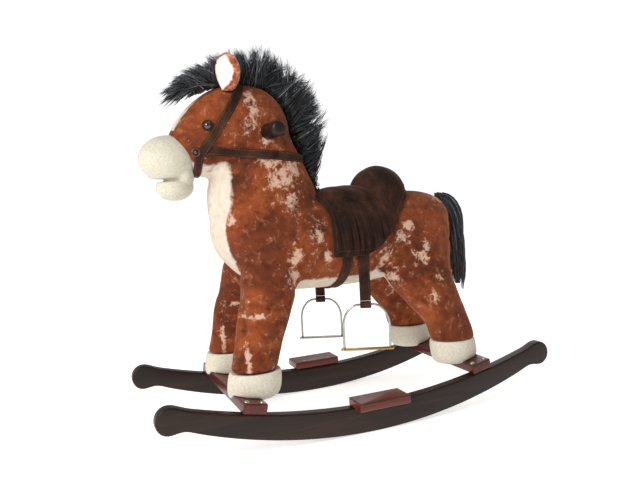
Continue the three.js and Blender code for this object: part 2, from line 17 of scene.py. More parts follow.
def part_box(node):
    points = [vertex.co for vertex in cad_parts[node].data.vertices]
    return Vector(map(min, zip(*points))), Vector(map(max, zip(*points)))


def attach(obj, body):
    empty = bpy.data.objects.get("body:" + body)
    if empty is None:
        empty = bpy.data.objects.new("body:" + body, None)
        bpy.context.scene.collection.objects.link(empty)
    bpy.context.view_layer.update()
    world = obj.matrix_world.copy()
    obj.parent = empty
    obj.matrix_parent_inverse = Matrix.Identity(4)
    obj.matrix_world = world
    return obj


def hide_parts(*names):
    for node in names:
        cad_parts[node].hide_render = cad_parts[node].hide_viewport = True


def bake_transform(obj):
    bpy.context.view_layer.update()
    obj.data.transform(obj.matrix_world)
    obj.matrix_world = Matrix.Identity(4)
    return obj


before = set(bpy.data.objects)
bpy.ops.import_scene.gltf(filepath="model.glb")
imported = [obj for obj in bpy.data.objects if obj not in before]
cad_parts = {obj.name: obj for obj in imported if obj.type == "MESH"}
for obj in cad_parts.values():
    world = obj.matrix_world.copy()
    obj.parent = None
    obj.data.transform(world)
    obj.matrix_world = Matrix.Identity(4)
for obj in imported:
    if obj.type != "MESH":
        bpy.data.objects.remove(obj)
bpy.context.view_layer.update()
scene = bpy.context.scene
MM = 0.001
DEG = np.pi / 180
SIDES = {"left": 1, "right": -1}
ENDS = {"front": -1, "rear": 1}
rng = np.random.default_rng(7)

# %% [markdown]
# ## The camera
# The toy is seen from a little in front of its left side, slightly from above.
# A camera's own axes are its right, its up and its back. Here they come from a
# compass direction, a height angle and a small roll, which is easier to read
# than a turned matrix.

# %% Place the camera
azimuth, elevation, roll = 66.97 * DEG, 4.81 * DEG, -2.87 * DEG
camera_place = (1.0786, -0.4917, 0.4180)
back = np.array([np.sin(azimuth) * np.cos(elevation), -np.cos(azimuth) * np.cos(elevation),
                 np.sin(elevation)])
level = np.cross(-back, [0, 0, 1])
level /= np.linalg.norm(level)
upright = np.cross(level, -back)
right = np.cos(roll) * level + np.sin(roll) * upright
up = np.cos(roll) * upright - np.sin(roll) * level
camera = bpy.data.objects.new("camera", bpy.data.cameras.new("camera"))
scene.collection.objects.link(camera)
turned = Matrix(np.column_stack([right, up, back]).tolist()).to_4x4()
camera.matrix_world = Matrix.Translation(camera_place) @ turned
camera.data.lens = 36
camera.data.sensor_width = 36
scene.camera = camera
print("camera stands at", [round(v, 3) for v in camera.location])

# %% [markdown]
# ## Turning arrays into meshes
# A surface is a grid of points: rows along it, columns across it. The faces
# join each point to its neighbours, so they follow from the grid's size alone.
# Whole arrays go into the mesh at once, which stays fast for thousands of
# hairs. Closed shells have their faces turned outwards at the end.

# %% Faces of a grid
def grid_faces(rows, columns, ring=False, loop=False):
    """Four-cornered faces of a grid; point number = row x columns + column. A
    ring joins the last column to the first, a loop the last row to the first."""
    r = np.arange(rows if loop else rows - 1)
    c = np.arange(columns if ring else columns - 1)
    r, c = (a.ravel() for a in np.meshgrid(r, c, indexing="ij"))
    r2, c2 = (r + 1) % rows, (c + 1) % columns
    return np.stack([r * columns + c, r * columns + c2, r2 * columns + c2, r2 * columns + c], 1)


def end_faces(rows, columns):
    """The two flat faces that close a tube of rings."""
    first = np.arange(columns)[None, ::-1]
    return [first, first[:, ::-1] + (rows - 1) * columns]


def tube_faces(rows, columns):
    """The faces of a tube of rings that is closed at both ends."""
    return [grid_faces(rows, columns, ring=True), *end_faces(rows, columns)]


# %% Make and settle a mesh
def add_mesh(name, points, faces, outward=True):
    """A mesh object from points in millimetres and a list of face arrays."""
    mesh = bpy.data.meshes.new(name)
    corners = np.concatenate([f.ravel() for f in faces]).astype(np.int32)
    sizes = np.concatenate([np.full(len(f), f.shape[1]) for f in faces])
    starts = np.concatenate([[0], np.cumsum(sizes)[:-1]]).astype(np.int32)
    mesh.vertices.add(len(points))
    mesh.vertices.foreach_set("co", (np.asarray(points) * MM).astype(np.float32).ravel())
    mesh.loops.add(len(corners))
    mesh.loops.foreach_set("vertex_index", corners)
    mesh.polygons.add(len(sizes))
    mesh.polygons.foreach_set("loop_start", starts)
    mesh.update(calc_edges=True)
    mesh.validate()
    obj = bpy.data.objects.new(name, mesh)
    scene.collection.objects.link(obj)
    if outward:
        turn_outward(obj)
    mesh.polygons.foreach_set("use_smooth", np.ones(len(mesh.polygons), bool))
    return obj


def turn_outward(obj):
    """Turns every face of a closed shell to look away from its inside."""
    work = bmesh.new()
    work.from_mesh(obj.data)
    bmesh.ops.recalc_face_normals(work, faces=work.faces)
    work.to_mesh(obj.data)
    work.free()


def joined(parts):
    """Several (points, faces) pairs as one pair, with the face numbers moved on."""
    points, faces, count = [], [], 0
    for part_points, part_faces in parts:
        points.append(part_points)
        faces.extend(f + count for f in part_faces)
        count += len(part_points)
    return np.concatenate(points), faces


def settle(obj):
    """Swaps the mesh for what its modifiers make of it, and drops them."""
    shaped = obj.evaluated_get(bpy.context.evaluated_depsgraph_get())
    mesh = bpy.data.meshes.new_from_object(shaped)
    obj.modifiers.clear()
    old, obj.data = obj.data, mesh
    bpy.data.meshes.remove(old)
    mesh.polygons.foreach_set("use_smooth", np.ones(len(mesh.polygons), bool))


# %% Read, move and paint points
def points_of(obj):
    """The mesh's points in millimetres, as an array."""
    flat = np.empty(len(obj.data.vertices) * 3, np.float32)
    obj.data.vertices.foreach_get("co", flat)
    return flat.reshape(-1, 3).astype(float) / MM


def normals_of(obj):
    """The mesh's point normals, as an array."""
    flat = np.empty(len(obj.data.vertices) * 3, np.float32)
    obj.data.vertex_normals.foreach_get("vector", flat)
    return flat.reshape(-1, 3).astype(float)


def move_points(obj, points):
    """Puts an array of points in millimetres back into the mesh."""
    obj.data.vertices.foreach_set("co", (points * MM).astype(np.float32).ravel())
    obj.data.update()


def paint(obj, name, values):
    """Stores one number per point, for the material to read."""
    layer = obj.data.attributes.new(name, "FLOAT", "POINT")
    layer.data.foreach_set("value", np.asarray(values, np.float32))


# %% Finish a piece
def finished(obj, body, slot, material, *nodes, fill=None):
    """Gives a piece its material and its body, and hides the imported nodes it stands for. The slot is
    not used.
    """
    obj.data.materials.clear()
    obj.data.materials.append(material)
    if body:
        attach(obj, body)
    if nodes:
        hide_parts(*nodes)
    print(f"{obj.name}: {len(obj.data.polygons)} faces")
    return obj


# %% [markdown]
# ## Shapes through sections
# The stuffed parts are lofts: oval sections along an axis with a smooth curve
# through their centres and half-sizes. A strap or a board edge is a sweep: one
# small closed outline carried along a path.

# %% Lofts and sweeps
def smooth_rows(rows, count):
    """Points on the Catmull-Rom curve through the rows: it meets every row, and
    its slope there is half the step between the neighbours."""
    rows = np.asarray(rows, float)
    p = np.vstack([2 * rows[0] - rows[1], rows, 2 * rows[-1] - rows[-2]])
    t = np.linspace(0, len(rows) - 1, count)
    i = np.minimum(t.astype(int), len(rows) - 2)
    f = (t - i)[:, None]
    a, b, c, d = (p[i + k] for k in range(4))
    return 0.5 * (2 * b + (c - a) * f + (2 * a - 5 * b + 4 * c - d) * f ** 2
                  + (3 * b - a - 3 * c + d) * f ** 3)


def once_round(count):
    """Angles at even steps once round: 2 pi x number / count."""
    return np.arange(count) * 2 * np.pi / count


def loft(axis, rows, grow=0.0, around=48, count=60):
    """A closed form through sections (at, x, other, wide, deep). Around each
    section the point is centre + (wide x sine, deep x cosine)."""
    at, x, other, wide, deep = smooth_rows(rows, count).T[:, :, None]
    angle = once_round(around)[None]
    side = x + (wide + grow) * np.sin(angle)
    rise = other + (deep + grow) * np.cos(angle)
    at = at + np.zeros_like(angle)
    order = (side, at, rise) if axis == "y" else (side, rise, at)
    points = np.stack(order, -1).reshape(-1, 3)
    return points, tube_faces(count, around)


def ball(centre, radii, around=32, rows=20, low=-1e9, high=1e9):
    """An ellipsoid: centre + radii x (sin t cos a, sin t sin a, cos t), with
    anything below low or above high pressed flat. The first and last rings keep
    a small angle from the poles, so that no ring shrinks to a point."""
    pole = 0.02
    t = np.linspace(pole, np.pi - pole, rows)[:, None]
    a = once_round(around)[None]
    unit = np.stack([np.sin(t) * np.cos(a), np.sin(t) * np.sin(a), np.cos(t) + 0 * a], -1)
    points = np.asarray(centre) + unit * radii
    points[..., 2] = np.clip(points[..., 2], low, high)
    return points.reshape(-1, 3), tube_faces(rows, around)


# %% Sweeps and outlines
def sweep(path, side, lift, outline, closed=False):
    """Carries an outline along a path: point = path + side x u + lift x v. Side
    and lift that aren't one long widen or thin the outline on the way."""
    path, side, lift = (np.asarray(a, float) for a in (path, side, lift))
    u, v = np.asarray(outline, float).T
    points = (path[:, None] + side[:, None] * u[None, :, None] + lift[:, None] * v[None, :, None])
    if closed:
        faces = [grid_faces(len(path), len(u), ring=True, loop=True)]
    else:
        faces = tube_faces(len(path), len(u))
    return points.reshape(-1, 3), faces


def rounded_outline(width, height, radius, steps=4):
    """A rectangle's outline about the origin, with a quarter circle at each corner."""
    corner = np.linspace(0, np.pi / 2, steps)
    points = []
    for turn, (sx, sy) in enumerate([(1, 1), (-1, 1), (-1, -1), (1, -1)]):
        a = corner + turn * np.pi / 2
        points.append(np.stack([sx * (width / 2 - radius) + radius * np.cos(a),
                                sy * (height / 2 - radius) + radius * np.sin(a)], 1))
    return np.concatenate(points)


def circle(radius, steps):
    """A circle's outline about the origin: radius x (cosine, sine)."""
    a = once_round(steps)
    return np.stack([radius * np.cos(a), radius * np.sin(a)], 1)


def unit(vectors):
    """Vectors made one long: each is divided by its own length."""
    return vectors / np.maximum(np.linalg.norm(vectors, axis=-1, keepdims=True), 1e-9)


# %% [markdown]
# ## Finishes
# Each finish is a small node recipe over Object coordinates, so it needs no
# image and stays put when a part moves. A helper class keeps a recipe short:
# `node` adds a node and joins whatever sockets are handed to it. Numbers that
# are the same all over go straight onto the shader.

# %% A recipe helper
def srgb(red, green, blue):
    """A colour as seen on a screen, 0 to 255, turned to linear light."""
    c = np.array([red, green, blue]) / 255
    linear = np.where(c <= 0.04045, c / 12.92, ((c + 0.055) / 1.055) ** 2.4)
    return (*linear.tolist(), 1.0)


class Finish:
    """A material being built up, node by node."""

    def __init__(self, name, **constants):
        self.material = bpy.data.materials.new(name)
        self.material.use_nodes = True
        self.tree = self.material.node_tree
        self.shader = self.tree.nodes["Principled BSDF"]
        for key, value in constants.items():
            self.shader.inputs[key.replace("_", " ")].default_value = value
        self.place = self.node("TexCoord").outputs["Object"]

    def node(self, kind, inputs=None, **options):
        """A shader node with its inputs linked or set, and its options set."""
        made = self.tree.nodes.new("ShaderNode" + kind)
        for key, value in options.items():
            setattr(made, key, value)
        for key, value in (inputs or {}).items():
            if isinstance(value, bpy.types.NodeSocket):
                self.tree.links.new(value, made.inputs[key])
            else:
                made.inputs[key].default_value = value
        return made

    def stretched(self, x, y, z):
        """Object coordinates scaled along each axis."""
        return self.node("Mapping", {"Vector": self.place, "Scale": (x, y, z)}).outputs[0]

    def noise(self, scale, detail=3.0, roughness=0.55, where=None, distortion=0.0):
        """Soft noise, 0 to 1; scale is about the number of lumps in a metre."""
        return self.node("TexNoise", {
            "Vector": where or self.place, "Scale": scale, "Detail": detail,
            "Roughness": roughness, "Distortion": distortion}).outputs["Fac"]

    def ramp(self, value, stops):
        """Colours along a value; stops are (place, colour)."""
        made = self.node("ValToRGB", {"Fac": value})
        band = made.color_ramp.elements
        while len(band) < len(stops):
            band.new(0.5)
        for element, (at, colour) in zip(band, stops):
            element.position = at
            element.color = colour
        return made.outputs["Color"]

    def between(self, value, low, high):
        """0 below low, 1 above high, straight between."""
        return self.node("MapRange", {"Value": value, "From Min": low, "From Max": high}).outputs[0]

    def mix(self, share, first, second):
        """Colour mix: first where share is 0, second where it is 1."""
        made = self.node("Mix", data_type="RGBA")
        for index, value in ((0, share), (6, first), (7, second)):
            if isinstance(value, bpy.types.NodeSocket):
                self.tree.links.new(value, made.inputs[index])
            else:
                made.inputs[index].default_value = value
        return made.outputs[2]

    def sum(self, first, second, kind="ADD"):
        """Two numbers added, or joined by another kind of arithmetic."""
        return self.node("Math", {0: first, 1: second}, operation=kind).outputs[0]

    def painted(self, name):
        """A number that the mesh carries at each point."""
        return self.node("Attribute", attribute_name=name).outputs["Fac"]

    def color(self, socket):
        """Hands a colour to the shader."""
        self.tree.links.new(socket, self.shader.inputs["Base Color"])

    def roughness(self, value, low, high):
        """Roughness: low where the value is 0, high where it is 1."""
        made = self.node("MapRange", {"Value": value, "To Min": low, "To Max": high}).outputs[0]
        self.tree.links.new(made, self.shader.inputs["Roughness"])

    def bump(self, height, distance, strength):
        """Small relief: the surface is shaded as if raised by height x distance."""
        made = self.node("Bump", {"Height": height, "Distance": distance, "Strength": strength})
        self.tree.links.new(made.outputs[0], self.shader.inputs["Normal"])


# %% [markdown]
# ### Wood
# The rockers are stained almost black-brown and lacquered; the crossbars and
# footrests are red-brown under the same clear coat, the footrests lighter as
# painted light on their lit tops; the inner frame is plain pine. Grain is noise
# pulled long along the board, with finer streaks over it, and the lacquer is a
# coat over a slightly rough base.

# %% Wood finishes
def wood(name, dark, middle, light, along, coat=0.0, gloss=(0.35, 0.5)):
    """Wood whose grain runs along one axis: noise squeezed on the other two."""
    f = Finish(name, Coat_Weight=coat, Coat_Roughness=0.18, Specular_IOR_Level=0.3)
    squeeze = {"x": (3, 60, 60), "y": (60, 3, 60), "z": (60, 60, 3)}[along]
    bands = f.noise(1.0, 4.0, 0.6, f.stretched(*squeeze), 0.6)
    streaks = f.noise(1.0, 2.0, 0.7, f.stretched(*(6.0 * v for v in squeeze)))
    grain = f.sum(f.sum(bands, 0.72, "MULTIPLY"), f.sum(streaks, 0.28, "MULTIPLY"))
    tone = f.ramp(grain, [(0.30, dark), (0.5, middle), (0.72, light)])
    pores = f.between(streaks, 0.62, 0.70)
    f.color(f.mix(f.sum(pores, 0.35, "MULTIPLY"), tone, dark))
    f.roughness(grain, *gloss)
    f.bump(f.sum(grain, pores, "SUBTRACT"), 0.0003, 0.35)
    return f.material


rocker_wood = wood("rocker_wood", srgb(17, 9, 6), srgb(34, 19, 13), srgb(52, 32, 23), "y", 0.03)
red_wood = wood("red_wood", srgb(48, 12, 8), srgb(80, 22, 15), srgb(110, 38, 26), "x",
                0.25, (0.3, 0.42))
# The footrests' wood is the red wood made lighter: painted light on their lit tops.
lit_rest_wood = wood("lit_rest_wood", srgb(62, 22, 14), srgb(100, 38, 25), srgb(136, 62, 43), "y",
                 0.25, (0.3, 0.42))
handle_wood = wood("handle_wood", srgb(16, 6, 5), srgb(28, 11, 8), srgb(46, 20, 14), "x",
                   0.04, (0.36, 0.5))
frame_wood = wood("frame_wood", srgb(176, 136, 88), srgb(206, 170, 120), srgb(224, 194, 148), "z",
                  gloss=(0.6, 0.75))
print("wood finishes made")

# %% [markdown]
# ### Plush
# The cover is short pile. Its colour is never even: the pile lies in drifts
# that catch the light, brushed spots show the pale backing, and the panels of
# cream cloth start at a sewn line. The mesh carries three painted numbers: how
# far a point is inside a cream panel, how worn pale it is, and how much painted
# shade it gets in its folds and in the spots where shadow falls. The recipe
# breaks all three up with noise, so that no edge is drawn
# with a ruler.

# %% Plush finishes
def plush():
    """Brown pile: four browns by the drifts, light and dark flecks over them,
    then painted shade in the folds and shade spots, the worn spots and the
    cream panels by their painted numbers."""
    f = Finish("brown_plush", Roughness=0.88, Sheen_Weight=0.24, Sheen_Roughness=0.45,
               Sheen_Tint=srgb(236, 170, 128), Specular_IOR_Level=0.2)
    drifts = f.noise(11.0, 5.0, 0.62, distortion=0.8)
    flecks = f.noise(64.0, 4.0, 0.65, distortion=0.4)
    pile = f.noise(420.0, 2.0, 0.6)
    tone = f.ramp(drifts, [(0.30, srgb(78, 36, 20)), (0.44, srgb(112, 52, 27)),
                           (0.56, srgb(137, 67, 33)), (0.74, srgb(160, 84, 42))])
    tone = f.mix(f.sum(f.between(flecks, 0.54, 0.78), 0.7, "MULTIPLY"), tone, srgb(182, 112, 80))
    tone = f.mix(f.sum(f.between(flecks, 0.45, 0.28), 0.8, "MULTIPLY"), tone, srgb(62, 30, 20))
    # Painted shade: the folds and the spots of painted shade darken the brown.
    tone = f.mix(f.sum(f.painted("fold_and_shade"), 0.55, "MULTIPLY"), tone, srgb(40, 20, 14))
    specks = f.noise(120.0, 4.0, 0.7, distortion=0.6)
    worn = f.sum(f.painted("pale"), 1.4, "MULTIPLY")
    worn = f.sum(worn, f.sum(f.sum(specks, 0.5, "SUBTRACT"), 4.4, "MULTIPLY"))
    worn = f.sum(worn, f.sum(f.sum(flecks, 0.5, "SUBTRACT"), 3.2, "MULTIPLY"))
    share = f.sum(f.between(worn, 0.68, 1.4), 0.86, "MULTIPLY")
    tone = f.mix(share, tone, srgb(214, 178, 156))
    panel = f.sum(f.painted("cream"), f.sum(f.sum(flecks, 0.5, "SUBTRACT"), 3.0, "MULTIPLY"))
    cream = f.ramp(f.noise(90.0, 3.0), [(0.3, srgb(202, 189, 172)), (0.7, srgb(220, 210, 196))])
    f.color(f.mix(f.between(panel, -0.6, 0.6), tone, cream))
    height = f.sum(f.sum(flecks, 0.6, "MULTIPLY"), f.sum(pile, 0.4, "MULTIPLY"))
    f.bump(height, 0.0022, 0.75)
    return f.material


def fleece(name, low, high):
    """Cream fleece: tight curls as raised noise, with painted shade between them and in the low drifts.
    """
    f = Finish(name, Roughness=0.92, Sheen_Weight=0.25, Sheen_Roughness=0.5,
               Specular_IOR_Level=0.15)
    curls = f.noise(330.0, 3.0, 0.6, distortion=0.5)
    drifts = f.noise(24.0, 3.0)
    # Painted shade: darker between the curls and in the low drifts, where the relief sinks.
    tone = f.ramp(curls, [(0.32, low), (0.62, high)])
    f.color(f.mix(f.sum(f.between(drifts, 0.6, 0.35), 0.35, "MULTIPLY"), tone, low))
    f.bump(f.sum(curls, f.sum(drifts, 0.4, "MULTIPLY")), 0.0013, 0.5)
    return f.material


def ear_cloth():
    """Brown pile outside and cream inside, parted by the painted rim line."""
    f = Finish("ear_cloth", Roughness=0.88, Sheen_Weight=0.35, Sheen_Roughness=0.45,
               Specular_IOR_Level=0.2)
    flecks = f.noise(90.0, 4.0, 0.65, distortion=0.4)
    brown = f.ramp(flecks, [(0.34, srgb(112, 52, 32)), (0.5, srgb(162, 88, 58)),
                            (0.68, srgb(212, 158, 130))])
    cream = f.ramp(flecks, [(0.3, srgb(230, 214, 200)), (0.6, srgb(248, 243, 236))])
    edge = f.sum(f.painted("inner"), f.sum(f.sum(flecks, 0.5, "SUBTRACT"), 0.5, "MULTIPLY"))
    f.color(f.mix(f.between(edge, -0.1, 0.1), brown, cream))
    f.bump(f.sum(flecks, f.noise(420.0, 2.0)), 0.0018, 0.6)
    return f.material


brown_plush = plush()
cream_plush = fleece("cream_plush", srgb(208, 198, 178), srgb(229, 224, 209))
muzzle_plush = fleece("muzzle_plush", srgb(192, 186, 167), srgb(212, 209, 194))
ear_plush = ear_cloth()

# %% [markdown]
# ### Hair, suede and hardware
# Each lock of hair carries its own share of painted highlight and how far along
# it a point is, so some locks come out a painted blue-grey and every tip is
# painted lighter than its root. Suede is a soft nap rubbed lighter in drifts.
# Metal gets fine brushing and dull spots in its roughness, not in its colour.

# %% Hair, suede and hardware finishes
def hair(name):
    """Black to a painted blue-grey highlight by the lock's highlight share, 0.35 x
    the place along it and 0.35 x noise."""
    f = Finish(name, Roughness=0.42, Specular_IOR_Level=0.45, Sheen_Weight=0.15, Sheen_Roughness=0.4)
    # Painted highlight: the lock's share, more towards its tip, lightens the black to blue-grey.
    lock_highlight = f.sum(f.painted("lock_highlight"), f.sum(f.painted("along"), 0.35, "MULTIPLY"))
    lock_highlight = f.sum(lock_highlight, f.sum(f.noise(45.0, 3.0), 0.35, "MULTIPLY"))
    f.color(f.ramp(lock_highlight, [(0.35, srgb(8, 8, 9)), (0.75, srgb(26, 27, 30)), (1.0, srgb(78, 84, 92)),
                           (1.25, srgb(126, 132, 140))]))
    return f.material


def suede(name, dark, middle, light, nap=130.0):
    """Nap in wide drifts of three tones, flecked by finer noise, and darkened by
    0.7 x the painted hollow: painted shade in the gathers."""
    f = Finish(name, Roughness=0.86, Sheen_Weight=0.3, Sheen_Roughness=0.4, Specular_IOR_Level=0.2,
               Sheen_Tint=srgb(170, 120, 92))
    drifts = f.noise(16.0, 4.0, 0.6, f.stretched(1.0, 1.6, 0.8), 0.5)
    fine = f.noise(nap, 4.0, 0.65)
    tone = f.ramp(drifts, [(0.32, dark), (0.5, middle), (0.7, light)])
    tone = f.mix(f.sum(f.between(fine, 0.55, 0.75), 0.5, "MULTIPLY"), tone, light)
    tone = f.mix(f.sum(f.between(fine, 0.45, 0.3), 0.6, "MULTIPLY"), tone, dark)
    in_shade = tuple(0.4 * v for v in dark[:3]) + (1.0,)
    # Painted shade in the gathers' hollows.
    f.color(f.mix(f.sum(f.painted("hollow"), 0.7, "MULTIPLY"), tone, in_shade))
    f.bump(f.sum(fine, f.noise(520.0, 2.0)), 0.0010, 0.5)
    return f.material


def metal(name, tint, gloss, brushing):
    """Brushed metal: roughness is lines x spots, between the two gloss values."""
    f = Finish(name, Metallic=1.0)
    lines = f.noise(1.0, 3.0, 0.6, f.stretched(*brushing))
    spots = f.noise(160.0, 3.0)
    f.color(f.mix(f.sum(f.between(spots, 0.5, 0.8), 0.5, "MULTIPLY"), tint,
                  tuple(0.55 * v for v in tint[:3]) + (1.0,)))
    f.roughness(f.sum(lines, spots, "MULTIPLY"), *gloss)
    f.bump(lines, 0.00015, 0.3)
    return f.material


def eye_glass():
    """A glossy dome: dark pupil, brown ring, black edge, by the painted radius."""
    f = Finish("eye_glass", Roughness=0.06, Coat_Weight=1.0, Coat_Roughness=0.03)
    ring = f.sum(f.painted("radius"), f.sum(f.noise(700.0, 2.0), 0.08, "MULTIPLY"))
    f.color(f.ramp(ring, [(0.40, srgb(6, 4, 4)), (0.52, srgb(70, 34, 16)), (0.74, srgb(44, 20, 10)),
                          (0.9, srgb(8, 5, 4))]))
    return f.material


def plastic(name, tone):
    """Moulded plastic with a fine grain, with a painted highlight up to 1.5 x as light on its peaks."""
    f = Finish(name, Specular_IOR_Level=0.4)
    grain = f.noise(900.0, 2.0)
    # Painted highlight: lighter on the grain's peaks.
    f.color(f.ramp(grain, [(0.3, tone), (0.8, tuple(1.5 * v for v in tone[:3]) + (1.0,))]))
    f.roughness(f.noise(60.0, 3.0), 0.4, 0.6)
    f.bump(grain, 0.0002, 0.4)
    return f.material


black_hair = hair("black_hair")
saddle_suede = suede("saddle_suede", srgb(24, 13, 9), srgb(46, 26, 18), srgb(76, 47, 34))
strap_suede = suede("strap_suede", srgb(30, 16, 11), srgb(52, 30, 21), srgb(80, 51, 37), 180.0)
thread = suede("thread", srgb(60, 38, 26), srgb(92, 62, 46), srgb(122, 88, 66), 600.0)
steel = metal("steel", srgb(176, 172, 164), (0.2, 0.42), (40, 40, 400))
brass = metal("brass", srgb(198, 168, 104), (0.22, 0.4), (400, 40, 400))
dark_steel = metal("dark_steel", srgb(104, 92, 84), (0.3, 0.5), (300, 300, 60))
screw_steel = metal("screw_steel", srgb(206, 200, 188), (0.25, 0.45), (300, 300, 60))
eye_gloss = eye_glass()
black_plastic = plastic("black_plastic", srgb(30, 31, 34))
print("finishes made:", len(bpy.data.materials))

# %% [markdown]
# ## The bowed rockers
# Each rocker is a board sawn to a bow and rounded over along its edges. The
# outline is two long arcs joined by a round tip at each end. The round-over is
# made by carrying the outline across the board's thickness and drawing it in
# near the faces by a quarter circle.

# %% Rocker outline
rocker_bottom_radius, rocker_top_radius, rocker_depth = 889.0, 1105.0, 46.0
rocker_length, rocker_thickness, rocker_width = 740.0, 20.0, 280.0
tip_radius, tip_drop = 22.5, 5.4


def rocker_top(y):
    """Height of the rocker's upper edge: its depth plus the arc's rise."""
    return rocker_depth + rocker_top_radius - np.sqrt(rocker_top_radius ** 2 - y ** 2)


def rocker_bottom(y):
    """Height of the rocker's lower edge: the arc's rise above the floor."""
    return rocker_bottom_radius - np.sqrt(rocker_bottom_radius ** 2 - y ** 2)


def arc_meets_tip(arc_z, radius, tip_y, tip_z):
    """Where the tip circle leaves an arc, by the law of cosines."""
    apart = np.hypot(tip_y, tip_z - arc_z)
    turn = np.arccos((radius ** 2 + apart ** 2 - tip_radius ** 2) / (2 * radius * apart))
    angle = np.arctan2(tip_z - arc_z, tip_y) - turn
    return radius * np.cos(angle), arc_z + radius * np.sin(angle)


def rocker_outline(steps=90, tip_steps=26):
    """Bottom arc, rear tip, top arc, front tip, in one turn, as (y, z)."""
    tip_y = rocker_length / 2 - tip_radius
    tip_z = (rocker_top(tip_y) + rocker_bottom(tip_y)) / 2 - tip_drop
    low = arc_meets_tip(rocker_bottom_radius, rocker_bottom_radius, tip_y, tip_z)
    high = arc_meets_tip(rocker_depth + rocker_top_radius, rocker_top_radius, tip_y, tip_z)
    y = np.linspace(-low[0], low[0], steps)
    bottom = np.stack([y, rocker_bottom(y)], 1)
    a = np.linspace(np.arctan2(low[1] - tip_z, low[0] - tip_y),
                    np.arctan2(high[1] - tip_z, high[0] - tip_y), tip_steps)[1:-1]
    tip = np.stack([tip_y + tip_radius * np.cos(a), tip_z + tip_radius * np.sin(a)], 1)
    y = np.linspace(high[0], -high[0], steps)
    top = np.stack([y, rocker_top(y)], 1)
    whole = np.concatenate([bottom, tip, top, (tip * [-1, 1])[::-1]])
    return ease_outline(whole)


def ease_outline(outline, gap=2.0, reach=15):
    """Runs a fair curve through the waists behind the tips. Points are spaced
    evenly and each is moved to the bell-weighted mean of its neighbours. A mean
    pulls a bow inwards, so the size is put back by adding what a second mean
    would take away: mean + (mean - mean of mean)."""
    closed_path = np.vstack([outline, outline[:1]])
    far = np.concatenate([[0], np.cumsum(np.linalg.norm(np.diff(closed_path, axis=0), axis=1))])
    at = np.arange(0, far[-1], far[-1] / round(far[-1] / gap))
    even = np.stack([np.interp(at, far, closed_path[:, k]) for k in range(2)], 1)
    bell = np.hanning(2 * reach + 1)
    bell /= bell.sum()

    def mean(path):
        ring = np.vstack([path[-reach:], path, path[:reach]])
        return np.stack([np.convolve(ring[:, k], bell, "valid") for k in range(2)], 1)

    eased = mean(even)
    return eased + (eased - mean(eased))


def board(outline, thickness, edge, steps=5):
    """A flat board from a closed outline: rings across the thickness. Where the
    edge is rounded over, a ring lies edge x (1 - sine) below the face and is
    drawn in by edge x (1 - cosine)."""
    ahead, behind = np.roll(outline, -1, 0), np.roll(outline, 1, 0)
    along = unit(ahead - behind)
    outward = np.stack([along[:, 1], -along[:, 0]], 1)
    a = np.linspace(0, np.pi / 2, steps)
    level = thickness / 2 - edge * (1 - np.sin(a))
    inset = edge * (1 - np.cos(a))
    across = np.concatenate([-level[::-1], level])
    inset = np.concatenate([inset[::-1], inset])
    rings = outline[None] - outward[None] * inset[:, None, None]
    heights = np.broadcast_to(across[:, None, None], rings.shape[:2] + (1,))
    return np.concatenate([rings, heights], -1), tube_faces(len(across), len(outline))


# %% Make the rockers
rocker_rounding = 3.0
for side_name, side in SIDES.items():
    rings, faces = board(rocker_outline(), rocker_thickness, rocker_rounding)
    middle = side * (rocker_width - rocker_thickness) / 2
    points = np.stack([rings[..., 2] + middle, rings[..., 0], rings[..., 1]], -1).reshape(-1, 3)
    rocker = add_mesh(f"rocker_board_{side_name}", points, faces)
    finished(rocker, "horse", "dark_wood", rocker_wood, f"rocker_{side_name}")

# %% [markdown]
# ## Crossbars and footrests
# Two bars tie the rockers together, and a short block on each rocker is the
# child's foot plate. They are the same kind of sawn block with softly broken
# edges, so one function makes both: the board above, lying on its back.
# A crossbar is flat and its rocker is hollow along the top, so the bar rests on
# its two edges, and its middle stays up by width squared / (8 x radius).

# %% Blocks of red wood
crossbar_reach, crossbar_width, crossbar_thickness = 217.0, 40.0, 17.0
crossbar_tilt = np.arcsin(crossbar_reach / rocker_top_radius)
paint_gap = 0.3
crossbar_seat = (rocker_top(crossbar_reach) + crossbar_width ** 2 / 8 / rocker_top_radius
                 + paint_gap)


def block(width, length, thickness, edge, corner):
    """A block standing on z = 0: a rounded rectangle given thickness."""
    rings, faces = board(rounded_outline(width, length, corner, 5), thickness, edge)
    return (rings + [0, 0, thickness / 2]).reshape(-1, 3), faces


def on_crossbar(points, end):
    """From the bar's own level frame to its place on the rockers: turned about X
    by the tilt of the bow there, then moved out and up."""
    c, s = np.cos(end * crossbar_tilt), np.sin(end * crossbar_tilt)
    x, y, z = points.T
    return np.stack([x, end * crossbar_reach + c * y - s * z, crossbar_seat + s * y + c * z], 1)


for end_name, end in ENDS.items():
    points, faces = block(rocker_width, crossbar_width, crossbar_thickness, 2.2, 3.0)
    bar = add_mesh(f"{end_name}_bar", on_crossbar(points, end), faces)
    finished(bar, "horse", "red_wood", red_wood, f"{end_name}_crossbar")

for side_name, side in SIDES.items():
    low, high = (np.array(v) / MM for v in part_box(f"footrest_{side_name}"))
    size = high - low
    points, faces = block(size[0], size[1], size[2], 2.0, 3.0)
    rest = add_mesh(f"foot_plate_{side_name}", points + [*((low + high) / 2)[:2], low[2]], faces)
    finished(rest, "horse", "red_wood", lit_rest_wood, f"footrest_{side_name}")

# %% [markdown]
# ## Screws
# Two round-headed wood screws hold each joint. A head is a disc of rings whose
# height is a dome with a cross pressed into it: the cross is where either of
# two axes is narrow, faded towards the rim.

